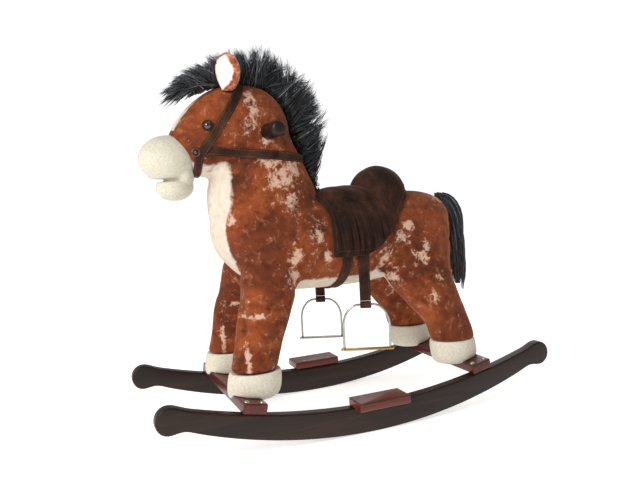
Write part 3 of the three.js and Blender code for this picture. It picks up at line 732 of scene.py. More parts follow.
# %% Screw heads
def screw_head(radius=4.5, height=2.4, around=32, rings=14):
    """A head on the origin and its shank below. The dome's height is height x
    the root of 1 - (distance / radius) ^ 2.4, less the depth of the cross."""
    slot_width, slot_reach, slot_depth = 0.55, 2.7, 1.3
    r = np.linspace(0.02, 1, rings)[:, None] * radius
    a = once_round(around)[None]
    x, y = r * np.cos(a), r * np.sin(a)
    dome = height * np.sqrt(np.clip(1 - (r / radius) ** 2.4, 0, 1)) + 0 * a
    across = np.minimum(np.abs(x), np.abs(y))
    reach = np.maximum(np.abs(x), np.abs(y))
    pressed = np.clip((slot_width - across) / 0.25, 0, 1)
    pressed *= np.clip((slot_reach - reach) / 0.5, 0, 1)
    top = np.stack([x, y, dome - slot_depth * pressed], -1)
    shank = [np.stack([x[-1] * k, y[-1] * k, np.full(around, z)], -1)
             for k, z in ((1.0, -0.2), (0.45, -0.4), (0.42, -18.0), (0.05, -22.0))]
    points = np.concatenate([top, np.array(shank)])
    return points.reshape(-1, 3), tube_faces(len(points), around)


# %% Drive the screws
screw_out = (rocker_width - rocker_thickness) / 2
bar_screw_step, rest_screw_step = 13, 27
head_sunk = 2.1
screws = []
for end in ENDS.values():
    for side in SIDES.values():
        for step in (-bar_screw_step, bar_screw_step):
            points, faces = screw_head()
            points = points + [side * screw_out, step, crossbar_thickness + 0.1]
            screws.append((on_crossbar(points, end), faces))
crossbar_screws = add_mesh("crossbar_screws", *joined(screws))
finished(crossbar_screws, "horse", "screw_steel", screw_steel,
         *[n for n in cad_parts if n.startswith("crossbar_screw")])

screws = []
for side_name, side in SIDES.items():
    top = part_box(f"footrest_{side_name}")[1][2] / MM
    for step in (-rest_screw_step, rest_screw_step):
        points, faces = screw_head()
        screws.append((points + [side * screw_out, step, top - head_sunk], faces))
plate_screws = add_mesh("plate_screws", *joined(screws))
finished(plate_screws, "horse", "screw_steel", screw_steel,
         *[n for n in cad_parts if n.startswith("footrest_screw")])

# %% [markdown]
# ## The handle
# A turned dowel goes through the head from side to side. Its outline is a
# cylinder with a shallow groove and a round end, spun about its axis: the
# radius is worked out at each place along it, and a ring of points does the
# rest.

# %% Turn the handle
def turned(profile, around=40):
    """Spins (along, radius) rows about X: (along, radius cos a, radius sin a)."""
    along, radius = np.asarray(profile, float).T[:, :, None]
    a = once_round(around)[None]
    points = np.stack([along + 0 * a, radius * np.cos(a), radius * np.sin(a)], -1)
    return points.reshape(-1, 3), tube_faces(len(profile), around)


def handle_profile(half, radius=13.0, rounding=8.0, groove_radius=12.3):
    """From one end to the other: a quarter circle over each end, then a groove
    that starts 12 mm in and is 6 mm wide."""
    a = np.linspace(0, np.pi / 2, 9)
    cap = np.stack([half - rounding * (1 - np.cos(a)), radius - rounding * (1 - np.sin(a))], 1)
    groove = [[half - 12, radius], [half - 14, groove_radius], [half - 16, groove_radius],
              [half - 18, radius]]
    end = np.concatenate([[[half, 0.5]], cap, groove])
    return np.concatenate([end * [-1, 1], end[::-1]])


handle_low, handle_high = (np.array(v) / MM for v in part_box("handle_bar"))
points, faces = turned(handle_profile((handle_high[0] - handle_low[0]) / 2))
grip = add_mesh("handle_dowel", points + (handle_low + handle_high) / 2, faces)
finished(grip, "horse", "handle_wood", handle_wood, "handle_bar")

# %% [markdown]
# ## The stuffed horse
# Trunk, neck, head and legs are one sewn cover over filling. The real shape is
# cut panels pulled round by the stuffing. Here oval sections follow the packed
# trunk, neck, head and legs, with the legs a little wider towards the middle,
# where the cloth has to cover the wooden posts. The forms are joined into one
# skin by a voxel remesh, a cloth simulation with a little pressure makes the
# skin swell between its tight places, and folds and panel lines are worked in
# afterwards. Remeshing first and creasing second matters, since a remesh would
# wipe out narrow creases.

# %% Sections of the body
# A row of trunk or head is (y, x, z, half-width, half-height); a row of neck or
# leg is (z, x, y, half-width, half-depth).
TORSO = [(-236, 0, 352, 22, 18), (-220, 0, 350, 60, 52), (-180, 0, 338, 84, 78), (-120, 0, 322, 93, 86),
         (-50, 0, 316, 96, 84), (20, 0, 315, 97, 82), (90, 0, 320, 96, 80), (150, 0, 328, 90, 75),
         (195, 0, 338, 74, 59), (222, 0, 346, 46, 36), (232, 0, 348, 14, 12)]
NECK = [(330, 0, -125, 72, 100), (375, 0, -137, 74, 104), (420, 0, -140, 68, 100),
        (460, 0, -142, 60, 86), (500, 0, -143, 52, 66), (530, 0, -145, 44, 50)]
HEAD = [(-298, 0, 500, 20, 20), (-284, 0, 500, 38, 42), (-254, 0, 508, 50, 66), (-215, 0, 521, 56, 76),
        (-175, 0, 528, 55, 74), (-135, 0, 530, 50, 66), (-102, 0, 525, 38, 46), (-84, 0, 515, 16, 16)]
FRONT_LEG = [(120, 78, -194, 33, 42), (160, 77, -185, 34, 43), (205, 74, -173, 37, 48),
             (250, 66, -159, 42, 52), (292, 54, -147, 38, 57)]
REAR_LEG = [(120, 78, 193, 35, 46), (150, 78, 184, 36, 47), (200, 75, 155, 41, 58),
            (250, 68, 132, 43, 72), (296, 58, 134, 41, 78), (338, 50, 138, 38, 80)]
LEGS = [[(z, side * x, y, wide, deep) for z, x, y, wide, deep in rows]
        for rows in (FRONT_LEG, REAR_LEG) for side in SIDES.values()]


# %% Swell and settle a skin
def stuffed(name, parts, voxel, pressure=4.0, cap=4.0, frames=20, smooth=6):
    """Joins closed forms into one skin, smooths it, and swells it as cloth if
    frames isn't 0. No point goes further than cap from where it started."""
    skin = add_mesh(name, *joined(parts), outward=False)
    remesh = skin.modifiers.new("remesh", "REMESH")
    remesh.mode = "VOXEL"
    remesh.voxel_size = voxel * MM
    ease = skin.modifiers.new("ease", "SMOOTH")
    ease.factor = 0.5
    ease.iterations = smooth
    settle(skin)
    if frames:
        swell(skin, pressure, cap, frames)
    return skin


def swell(skin, pressure, cap, frames):
    """Inner pressure pushes the cloth out. Each point's step is then scaled by
    cap / length wherever it is longer than the cap."""
    before = points_of(skin)
    cloth = skin.modifiers.new("cloth", "CLOTH")
    cloth.settings.quality = 4
    cloth.settings.use_pressure = True
    cloth.settings.uniform_pressure_force = pressure
    cloth.settings.effector_weights.gravity = 0
    cloth.settings.tension_stiffness = 20
    cloth.settings.compression_stiffness = 20
    cloth.settings.bending_stiffness = 0.4
    for number in range(1, frames + 1):
        scene.frame_set(number)
    settle(skin)
    scene.frame_set(1)
    step = points_of(skin) - before
    length = np.linalg.norm(step, axis=1, keepdims=True)
    move_points(skin, before + step * np.minimum(1, cap / np.maximum(length, 1e-6)))
    print(f"{skin.name}: swelled {float(length.mean()):.1f} mm on average")


# %% Make the body skin
inset = -2.0
forms = [loft("y", TORSO, inset), loft("z", NECK, inset), loft("y", HEAD, inset)]
forms += [loft("z", rows, inset) for rows in LEGS]
skin = stuffed("horse_skin", forms, 5.5, cap=3.5)
finer = skin.modifiers.new("finer", "SUBSURF")
finer.levels = finer.render_levels = 1
settle(skin)
print("skin points:", len(skin.data.vertices))

# %% [markdown]
# ### Folds, painted shade, panels and worn spots
# Where a leg meets the trunk, cloth gathers into creases, which are pressed in
# and darkened with painted shade; the chest and belly are cream panels with a
# sewn edge; the brushed pile shows pale in drifts on the neck, shoulder and
# haunch; and spots of painted shade darken the brown where shadow falls, such as
# behind the cheek and on the hind thigh. All of them are numbers worked out from
# where each skin point is.

# %% Lumps and creases
def lumps(points, scale, seed, waves=10):
    """Gentle unevenness: the mean of sine waves in random directions, each the
    sine of (place along its own direction / scale, and a random start)."""
    maker = np.random.default_rng(seed)
    way = unit(maker.normal(size=(waves, 3)))
    turn = maker.uniform(0.6, 1.6, waves) / scale
    return np.sin(points @ (way * turn[:, None]).T + maker.uniform(0, 6.28, waves)).mean(1)


def crease(points, start, end, width, reach=40.0):
    """1 on the line from start to end seen from the side, falling off across it
    as a bell, and fading at both ends."""
    start, end = np.array(start, float), np.array(end, float)
    along = end - start
    offset = points[:, 1:] - start
    share = np.clip(offset @ along / (along @ along), 0, 1)
    apart = np.linalg.norm(offset - share[:, None] * along, axis=1)
    ends = np.clip(np.minimum(share, 1 - share) * 6 + 0.15, 0, 1)
    return np.exp(-(apart / width) ** 2) * ends * np.clip(np.abs(points[:, 0]) / reach, 0, 1)


# %% Work the creases in
# Each crease, seen from the side: where it starts and ends as (y, z), and how
# wide it is.
CREASES = [((-212, 330), (-128, 392), 3.0), ((-205, 300), (-150, 330), 3.4),
           ((-128, 300), (-112, 236), 4.0), ((-140, 250), (-178, 222), 3.6),
           ((-205, 235), (-150, 222), 3.0), ((70, 330), (40, 250), 4.2),
           ((88, 270), (122, 226), 3.6), ((150, 250), (200, 230), 3.4),
           ((-118, 330), (-96, 400), 4.0), ((-230, 462), (-120, 474), 4.0),
           ((-190, 180), (-150, 172), 2.8), ((150, 180), (196, 170), 3.0),
           ((186, 330), (214, 290), 3.2), ((-208, 262), (-214, 180), 2.4),
           ((120, 300), (60, 352), 3.4)]
points, normals = points_of(skin), normals_of(skin)
fold_and_shade = np.zeros(len(points))
for start, end, width in CREASES:
    fold_and_shade = np.maximum(fold_and_shade, crease(points, start, end, 1.5 * width))
soft = 2.0 * lumps(points, 22, 3) + 1.1 * lumps(points, 9, 4)
points += normals * (soft - 2.8 * fold_and_shade)[:, None]
move_points(skin, points)


# %% Panels and spots
def panel_depth(points, normals):
    """How far inside a cream panel each point lies, in units of 4 mm, above 0
    inside: the chest, the belly strip and the blaze on the forehead."""
    x, y, z = points.T
    chest = np.interp(z, [262, 285, 300, 350, 400, 440, 474], [0, 30, 43, 50, 49, 44, 30])
    chest = np.where((y < -168) & (z < 478) & (z > 258), chest - np.abs(x), -30)
    chest = np.minimum(chest, (-normals[:, 1] + 0.05) * 60)
    belly = np.minimum(66 - np.abs(x), (-normals[:, 2] - 0.52) * 60)
    belly = np.minimum(belly, 130 - np.abs(y + 5))
    belly = np.where((z < 275) & (z > 226), belly, -30)
    blaze = np.interp(y, [-296, -270, -235, -205], [16, 15, 11, 2]) - np.abs(x)
    blaze = np.where((z > 520) & (y < -200), blaze, -30)
    return np.maximum(np.maximum(chest, belly), blaze) / 4


def spots(points, rows, fall=1.0):
    """The strongest spot at each point, seen from the side: its strength x e to
    the power of -(fall x distance squared), with distance 1 at its rim."""
    _, y, z = points.T
    cover = np.zeros(len(points))
    for spot_y, spot_z, wide, tall, strength in rows:
        away = ((y - spot_y) / wide) ** 2 + ((z - spot_z) / tall) ** 2
        cover = np.maximum(cover, strength * np.exp(-fall * away))
    return cover


# %% Paint the skin
# Worn spots and spots of painted shade: y, z, half-width, half-height; a spot
# of painted shade also has its strength.
WORN = [(-164, 556, 13, 26), (-176, 520, 10, 14), (-123, 434, 30, 26), (-138, 462, 26, 14),
        (-100, 452, 16, 16), (-214, 368, 9, 8), (-110, 395, 14, 20), (-116, 306, 13, 18),
        (-126, 272, 12, 18), (-72, 338, 11, 22), (-60, 300, 9, 12), (86, 322, 14, 12),
        (52, 286, 13, 22), (66, 252, 12, 12), (118, 282, 13, 12), (132, 300, 10, 8),
        (206, 386, 22, 10), (134, 210, 10, 12), (-224, 244, 6, 20), (-190, 214, 20, 5),
        (-120, 216, 9, 16), (-212, 150, 4, 34), (-145, 498, 10, 14), (100, 340, 12, 10),
        (150, 244, 12, 8)]
PAINTED_SHADE = [(112, 300, 60, 55, 0.55), (-112, 512, 24, 34, 0.95), (-96, 472, 34, 16, 0.9),
        (-168, 468, 50, 8, 0.5), (-70, 350, 22, 60, 0.6), (20, 268, 70, 20, 0.6),
        (66, 300, 16, 50, 0.6), (176, 262, 18, 60, 0.5), (-120, 262, 16, 40, 0.5),
        (-84, 560, 30, 20, 0.6), (170, 380, 40, 14, 0.3), (150, 160, 14, 30, 0.4),
        (-150, 150, 12, 30, 0.3)]
pale = spots(points, [(*spot, 1.0) for spot in WORN], fall=0.8)
to_side = np.clip(np.abs(points[:, 0]) / 30, 0, 1)
paint(skin, "pale", pale * to_side)
paint(skin, "cream", panel_depth(points, normals))
# Painted shade: 0.6 x the creases, or a spot of painted shade where that is darker.
paint(skin, "fold_and_shade", np.maximum(0.6 * fold_and_shade, spots(points, PAINTED_SHADE)))
covered = ["body_plush", "head_plush"]
covered += [f"leg_{end}_{side}" for end in ENDS for side in SIDES]
finished(skin, "horse", "brown_plush", brown_plush, *covered, fill=0.9)
surface = BVHTree.FromObject(skin, bpy.context.evaluated_depsgraph_get())

# %% [markdown]
# ## Muzzle and talking jaw
# The muzzle and lower jaw are one cream fleece cover with a mouth slit. A
# motor nods the jaw, and the cloth at the corner of the mouth bends. Two flat-
# lipped half forms, a bridge behind them and a thin lining between the lips
# are joined into one skin, which keeps the slit as a groove.
# This cover is small and tight, so it is only smoothed, not swelled: pressure
# would press the two lips together.

# %% Make the muzzle
mouth_top, mouth_low = 443.0, 437.6
muzzle = stuffed("muzzle_cover", [
    ball((0, -298, 475), (44, 50, 39), low=mouth_top),
    ball((0, -291, 428), (32, 31, 23), high=mouth_low),
    ball((0, -276, 455), (32, 18, 40)),
    ball((0, -285, 440.3), (21, 23, 5)),
], 1.6, frames=0, smooth=12)
points, normals = points_of(muzzle), normals_of(muzzle)
points += normals * (0.7 * lumps(points, 8, 11))[:, None]
move_points(muzzle, points)
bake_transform(muzzle)
finished(muzzle, None, "cream_plush", muzzle_plush, "muzzle", "lower_jaw")

# %% [markdown]
# ## Hoof cuffs
# Each leg ends in a plump cream cuff sewn to the brown cover, standing on its
# crossbar. The cuff bulges below the seam, has its own small unevenness, and
# its underside is pressed flat where the bar carries it.

# %% Shape a cuff
cuff_half_width, cuff_half_length = 34.5, 43.5
cuff_out, cuff_reach, cuff_low, leg_lean = 78, 199, 76, 0.11
cuff_around = 64


def cuff(end, side):
    """Rings from the underside up, each an oval of scale x the half-sizes: they
    swell quickly, hold, and tuck in at the seam; the last rings dip inside to
    meet the leg. Where a ring would sink into the crossbar it is lifted to it."""
    rows = [(76, 0.05), (76, 0.55), (77, 0.84), (80, 0.96), (86, 1.02), (94, 1.05), (103, 1.05),
            (111, 1.04), (117, 1.02), (120.5, 0.99), (121.5, 0.93), (119, 0.86), (118, 0.5),
            (118, 0.05)]
    z, scale = np.array(rows).T[:, :, None]
    a = once_round(cuff_around)[None]
    x = side * cuff_out + cuff_half_width * scale * np.cos(a)
    y = end * cuff_reach - end * leg_lean * (z - cuff_low) + cuff_half_length * scale * np.sin(a)
    points = np.stack([x, y, z + 0 * a], -1)
    points = points.reshape(-1, 3)
    bar_top = crossbar_seat + (crossbar_thickness + 0.4) / np.cos(crossbar_tilt)
    bar_top = bar_top + np.tan(crossbar_tilt) * (np.abs(points[:, 1]) - crossbar_reach)
    over = np.abs(np.abs(points[:, 1]) - crossbar_reach) < crossbar_width / 2 + 1
    sinks = over & (points[:, 2] < bar_top)
    points[:, 2] = np.where(sinks, bar_top, points[:, 2])
    return points, tube_faces(len(rows), cuff_around)


# %% Make the hoof cuffs
for end_name, end in ENDS.items():
    for side_name, side in SIDES.items():
        hoof = add_mesh(f"hoof_cuff_{end_name}_{side_name}", *cuff(end, side))
        finer = hoof.modifiers.new("finer", "SUBSURF")
        finer.levels = finer.render_levels = 1
        settle(hoof)
        points, normals = points_of(hoof), normals_of(hoof)
        free = np.clip((points[:, 2] - 95) / 12, 0, 1) * np.clip((121 - points[:, 2]) / 4, 0, 1)
        points += normals * (free * 0.9 * lumps(points, 9, 21))[:, None]
        move_points(hoof, points)
        finished(hoof, "horse", "cream_plush", cream_plush, f"hoof_{end_name}_{side_name}", fill=0.8)

# %% [markdown]
# ## Ears
# An ear is a leaf of brown plush sewn to a cream lining, cupped forward. It is
# one closed skin: around each level the front half is pushed back into a
# hollow, and a painted number says how far a point is inside the lining.

# %% Shape an ear
def turn_matrix(ax, ay, az):
    """Turns about X, then Y, then Z, as one matrix."""
    cx, sx, cy, sy, cz, sz = (f(v) for v in (ax, ay, az) for f in (np.cos, np.sin))
    rx = np.array([[1, 0, 0], [0, cx, -sx], [0, sx, cx]])
    ry = np.array([[cy, 0, sy], [0, 1, 0], [-sy, 0, cy]])
    rz = np.array([[cz, -sz, 0], [sz, cz, 0], [0, 0, 1]])
    return rz @ ry @ rx


def ear_leaf(side, height=56.0, width=58.0, thickness=22.0, rows=36, around=56):
    """Each ring is (half-width cos a, half-thickness sin a). The half-width
    follows a leaf outline, and the front of the ring is drawn back by 0.36 x how
    near its middle a point is. Also gives how far inside the lining a point is."""
    t = np.linspace(0, 1, rows)
    outline = np.interp(t, [0, 0.12, 0.3, 0.5, 0.7, 0.86, 0.95, 1],
                        [0.16, 0.31, 0.46, 0.53, 0.51, 0.40, 0.26, 0.04])
    outline = np.convolve(np.pad(outline, 2, "edge"), np.ones(5) / 5, "valid")[:, None] * width
    t = t[:, None]
    a = once_round(around)[None]
    thick = thickness * 0.5 * np.sqrt(np.clip(1 - t ** 3, 0.02, 1))
    across, depth = np.cos(a), np.sin(a)
    cupped = np.clip(1 - across ** 2 * 1.25, 0, 1) * np.sin(np.pi * np.clip(t * 1.1, 0, 1))
    hollow = np.where(depth < 0, 1.0 - 0.36 * cupped, 1.0)
    points = np.stack([outline * across, thick * depth * hollow, -4 + t * (height + 4) + 0 * a], -1)
    oval = 1 - np.hypot((across + 0.1 * side) / 0.84, (t - 0.48) / 0.44)
    inner = np.where(depth < 0.1, oval, -0.5)
    return points.reshape(-1, 3), tube_faces(rows, around), inner.ravel()


# %% Make the ears
for side_name, side in SIDES.items():
    points, faces, inner = ear_leaf(side)
    turn = turn_matrix(8 * DEG, side * 12 * DEG, side * 24 * DEG)
    ear = add_mesh(f"ear_leaf_{side_name}", points @ turn.T + [side * 31, -198, 588], faces)
    paint(ear, "inner", inner)
    finished(ear, "horse", "brown_plush", ear_plush, f"ear_{side_name}", fill=0.4)

# %% [markdown]
# ## Eyes
# Glossy domes pressed into the cheeks, each in a dark ring of stitched cloth.
# The dome is a cap of a ball whose flat side is inside the head; the painted
# radius gives it a pupil and an iris.

# %% Balls and rings
def dome(radius, rows=18, around=36):
    """A ball, radius x (sin t cos a, sin t sin a, cos t), and each point's
    distance from its axis z in radii, which is sin t."""
    t = np.linspace(0.03, np.pi - 0.03, rows)[:, None]
    a = once_round(around)[None]
    points = radius * np.stack([np.sin(t) * np.cos(a), np.sin(t) * np.sin(a), np.cos(t) + 0 * a], -1)
    away = (np.sin(t) + 0 * a).ravel()
    return points.reshape(-1, 3), tube_faces(rows, around), away


def ring_about(centre, axis, radius, wire, around=40, section=10):
    """A torus: a small circle carried round a large one, whose points are
    centre + radius x (first direction x cosine + second direction x sine)."""
    axis = unit(np.asarray(axis, float))
    first = unit(np.cross(axis, [0.0, 0.3, 1.0]))
    second = np.cross(axis, first)
    a = once_round(around)[:, None]
    spoke = np.cos(a) * first + np.sin(a) * second
    path = np.asarray(centre) + radius * spoke
    return sweep(path, spoke, np.broadcast_to(axis, spoke.shape), circle(wire, section), closed=True)


# %% Make the eyes
rims = []
for side_name, side in SIDES.items():
    centre = np.array([side * 50, -241, 524.0])
    axis = unit(np.array([side * 0.9, -0.38, 0.16]))
    first = unit(np.cross([0, 0, 1.0], axis))
    turn = np.column_stack([first, np.cross(axis, first), axis])
    points, faces, away = dome(7.5)
    eye = add_mesh(f"eye_dome_{side_name}", points @ turn.T + centre, faces)
    paint(eye, "radius", away)
    finished(eye, "horse", "eye_gloss", eye_gloss, f"eye_{side_name}")
    rims.append(ring_about(centre + axis * 1.5, axis, 7.9, 1.5))
rim = add_mesh("eye_rims", *joined(rims))
finished(rim, "horse", "strap_suede", strap_suede)

# %% [markdown]
# ## The saddle
# A soft suede pad: flaps hang down both flanks in gathered folds, the seat is
# low, and behind it rises a plump round back. It wraps the trunk, so it is
# measured outwards from the trunk's own axis. For each direction around the
# trunk and each place along it, the distance out is the largest of trunk plus
# pad, seat bulge and back bulge, eased where they meet.

# %% Distances out from the trunk's axis
torso_rows = smooth_rows(TORSO, 240)


def torso_at(y):
    """Centre height, half-width and half-height of the trunk at each y."""
    at, _, centre, wide, deep = torso_rows.T
    return np.interp(y, at, centre), np.interp(y, at, wide), np.interp(y, at, deep)


def out_to_ellipsoid(y, slope_x, slope_z, from_z, centre_y, centre_z, radii):
    """Distance along a ray in the plane of y to an ellipsoid's far side, or 0 if
    it misses: the larger root of the ray's quadratic in that plane's ellipse."""
    shrink = np.sqrt(np.clip(1 - ((y - centre_y) / radii[1]) ** 2, 0, 1))
    wide, tall = radii[0] * shrink + 1e-6, radii[2] * shrink + 1e-6
    rise = from_z - centre_z
    a = (slope_x / wide) ** 2 + (slope_z / tall) ** 2
    b = 2 * slope_z * rise / tall ** 2
    c = (rise / tall) ** 2 - 1
    root = b * b - 4 * a * c
    return np.where(root > 0, (-b + np.sqrt(np.clip(root, 0, None))) / (2 * a), 0)


def larger(first, second, ease):
    """The larger of two numbers, with a soft join: their mix by share, plus
    ease x share x (1 - share), where share runs from 0 to 1 over 2 x ease."""
    share = np.clip(0.5 + 0.5 * (first - second) / ease, 0, 1)
    return second + (first - second) * share + ease * share * (1 - share)


# %% Shape the saddle
hem_turn = 101 * DEG


def saddle_grid(rows=150, columns=190):
    """The saddle's outer and under side as grids of points, the way out at each
    point, and how deep in a fold it lies, for the painted shade. Rows run back
    along the horse, columns over its back from hem to hem. A point is the trunk's
    axis + way out x distance, and the distance is trunk + pad, seat or back, plus the folds."""
    turn = np.linspace(-1, 1, columns)[None]
    share = np.linspace(0, 1, rows)[:, None]
    level = 315 + 90 * np.cos(turn * hem_turn)
    front = np.interp(level, [296, 330, 370, 396, 405], [-50, -49, -45, -48, -58])
    rear = np.interp(level, [296, 308, 336, 370, 392, 404, 406], [6, 36, 66, 92, 120, 138, 142])
    y = front + (rear - front) * share
    centre, wide, deep = torso_at(y)
    angle = turn * hem_turn + 0 * share
    out_x, out_z = np.moveaxis(unit(np.stack([wide * np.sin(angle), deep * np.cos(angle)], -1)), -1, 0)
    trunk = 1 / np.sqrt((out_x / wide) ** 2 + (out_z / deep) ** 2)

    edge = np.minimum(np.minimum(share, 1 - share) * 9, (1 - np.abs(turn)) * 9).clip(0, 1)
    pad = 3.0 + 4.6 * np.sqrt(edge)
    seat = out_to_ellipsoid(y, out_x, out_z, centre, 22, 394, (62, 86, 23))
    cantle = out_to_ellipsoid(y, out_x, out_z, centre, 88, 394, (68, 50, 57))
    flare = 5.5 * np.clip((np.abs(turn) - 0.72) / 0.28, 0, 1) ** 1.5
    distance = larger(larger(trunk + pad, seat, 8), cantle, 7) + flare

    hang = np.clip(np.abs(turn) * 1.8 - 0.5, 0, 1)
    drift = 1.5 * np.sin(y * 0.11) + 0.6 * np.sin(level * 0.05)
    gathers = np.sin(y * 0.42 + np.sign(turn) * 0.8 + drift)
    finer_gathers = np.sin(y * 0.93 + level * 0.02 + 1.0)
    puckers = np.sin(level * 0.35 + y * 0.2) * np.clip(1 - hang * 2, 0, 1) * edge
    distance = distance + hang * np.sqrt(edge) * (2.4 * gathers + 1.0 * finer_gathers)
    distance = distance + 0.35 * puckers
    # Painted shade: how deep a point lies in a gather's hollow.
    hollow = np.clip(-0.5 * gathers - 0.3 * finer_gathers, 0, 1) * hang
    lining = np.minimum(trunk + 1.0 + flare, distance - 2.2)

    top, under = (np.stack([out_x * d, y + 0 * d, centre + out_z * d], -1)
                  for d in (distance, lining))
    return top, under, np.stack([out_x, 0 * out_x, out_z], -1), hollow


# %% Make the saddle
top, under, way_out, hollow = saddle_grid()
rows, columns = hollow.shape
shell = np.concatenate([top, under[:, ::-1]], axis=1)
column = np.arange(columns - 1)
last = 2 * columns - 1
edges = [r * 2 * columns + np.stack([column, column + 1, last - 1 - column, last - column], 1)
         for r in (0, rows - 1)]
saddle = add_mesh("saddle_pad", shell.reshape(-1, 3),
                  [grid_faces(rows, 2 * columns, ring=True), *edges])
# The hollows carry painted shade on the outer side only.
paint(saddle, "hollow", np.concatenate([hollow, 0 * hollow], axis=1).ravel())
finished(saddle, "horse", "saddle_suede", saddle_suede, "saddle", fill=0.6)

# %% [markdown]
# ### Piping and stitches
# The flap is bound with a rolled hem, and a row of stitches runs just inside
# it. Both follow the edge of the same grid, so they fit whatever the saddle's
# shape is. A stitch is a short rod with pinched ends; hundreds of them share
# one mesh.

# %% Hem and stitches
def arc_spaced(path, gap):
    """Points at even steps along a path, their directions, and their places."""
    steps = np.linalg.norm(np.diff(path, axis=0), axis=1)
    far = np.concatenate([[0], np.cumsum(steps)])
    at = np.arange(gap / 2, far[-1], gap)
    spaced = np.stack([np.interp(at, far, path[:, k]) for k in range(3)], 1)
    ahead = np.stack([np.interp(at + 0.5, far, path[:, k]) for k in range(3)], 1)
    return spaced, unit(ahead - spaced + 1e-9), at / far[-1]


def stitches(path, outward, gap=5.0, length=3.4, thick=0.55):
    """Small rods along a path: middle + along x place + radius x (side cos a +
    lift sin a), with four rings of six points and a small radius at the ends."""
    rings, sides = 4, 6
    middle, along, share = arc_spaced(path, gap)
    index = (share * (len(path) - 1)).astype(int)
    lift = unit(outward[index])
    side = unit(np.cross(along, lift))
    a = once_round(sides)
    t = np.array([-1, -0.8, 0.8, 1.0])
    size = np.array([0.25, 1, 1, 0.25]) * thick
    points = (middle[:, None, None] + along[:, None, None] * (t * length / 2)[None, :, None, None]
              + side[:, None, None] * (size[:, None] * np.cos(a))[None, :, :, None]
              + lift[:, None, None] * (size[:, None] * np.sin(a) + 0.2)[None, :, :, None])
    first = rings * sides * np.arange(len(middle))[:, None, None]
    faces = [(f + first).reshape(-1, f.shape[-1]) for f in tube_faces(rings, sides)]
    return points.reshape(-1, 3), faces


def edge_loop(grid, inset=0):
    """The grid's border, walked once round, inset rows in from each edge."""
    i, j = inset, inset
    last_r, last_c = grid.shape[0] - 1 - inset, grid.shape[1] - 1 - inset
    return np.concatenate([grid[i, j:last_c], grid[i:last_r, last_c], grid[last_r, last_c:j:-1],
                           grid[last_r:i:-1, j]])


# %% Bind the saddle's hem
path, out = edge_loop(top), edge_loop(way_out)
keep = np.concatenate([[True], np.linalg.norm(np.diff(path, axis=0), axis=1) > 0.4])
path, out = path[keep], out[keep]
along = unit(np.roll(path, -2, 0) - np.roll(path, 2, 0))
side = unit(np.cross(along, out))
hem = add_mesh("saddle_piping", *sweep(path - out * 1.2, side, unit(np.cross(side, along)),
                                      circle(2.1, 8), closed=True))
finished(hem, "horse", "saddle_suede", strap_suede)
seam_inset = 5
seam = stitches(edge_loop(top, seam_inset), edge_loop(way_out, seam_inset))
finished(add_mesh("saddle_stitches", *seam), "horse", "saddle_suede", thread)

# %% [markdown]
# ## Straps
# The bridle, reins and girth are flat suede straps laid on the cover. Each
# lies in one plane through the horse. Its path is found by looking inwards,
# from outside, at that plane's middle and asking the skin where it is. The
# strap is then a thin rounded rectangle carried along that path, lifted just
# clear of the pile.

# %% Lay a strap on the skin
looking_from = 200.0


def skin_path(centre, first, angles, lift):
    """Points lift above the skin, in the plane of X and a first direction: the
    way out is first x cosine + X x sine, and a ray comes in along it. The
    distances are then eased by a bell-weighted mean of seven neighbours."""
    centre = np.asarray(centre, float)
    ways = np.cos(angles)[:, None] * first + np.sin(angles)[:, None] * [1, 0, 0]
    away = []
    for way in ways:
        origin = Vector(((centre + way * looking_from) * MM).tolist())
        hit = surface.ray_cast(origin, Vector((-way).tolist()))[0]
        away.append(looking_from if hit is None else np.linalg.norm(np.array(hit) / MM - centre))
    bell = np.hanning(9)[1:-1]
    away = np.convolve(np.pad(away, 3, "edge"), bell / bell.sum(), "valid")
    return centre + ways * (away + lift)[:, None]


def strap(centre, first, half_turn, count, lift, width, thickness=2.4):
    """A strap from half_turn degrees on one side to the other, its flat side
    out, and the two rows of stitches just inside its edges."""
    first = unit(np.array(first, float))
    path = skin_path(centre, first, np.linspace(-half_turn, half_turn, count) * DEG, lift)
    along = unit(np.gradient(path, axis=0))
    flat = np.broadcast_to(unit(np.cross(first, [1, 0, 0])), along.shape)
    up = unit(np.cross(along, flat))
    up *= np.sign(((path - path.mean(0)) * up).sum())
    band = sweep(path, flat, up, rounded_outline(width, thickness, 0.9, 3))
    rows = [stitches(path + flat * s * (width / 2 - 2.2) + up * thickness / 2, up, 4.6)
            for s in (-1, 1)]
    return band, rows


# %% Make the straps
noseband, nose_rows = strap((0, -257, 478), (0, 0, -1), 96.76, 70, 2.0, 14)
headpiece, head_rows = strap((0, -214, 536), (0, 115, 166), 152, 110, 2.0, 15)
bridle = add_mesh("bridle_straps", *joined([noseband, headpiece]))
finished(bridle, "horse", "strap_suede", strap_suede, "bridle")
band, rein_rows = strap((0, -160, 476), (0, 220, -22), 151, 130, 2.2, 15)
finished(add_mesh("rein_strap", *band), "horse", "strap_suede", strap_suede, "reins")
band, girth_rows = strap((0, -22, 316), (0, 0, -1), 84, 80, 1.8, 18)
finished(add_mesh("girth_band", *band), "horse", "strap_suede", strap_suede, "girth_strap")
threads = joined(nose_rows + head_rows + rein_rows + girth_rows)
finished(add_mesh("strap_stitches", *threads), "horse", "strap_suede", thread)

# %% [markdown]
# ### Rings and rivets of the bridle
# The straps meet at a steel ring on each cheek, held by a domed rivet.

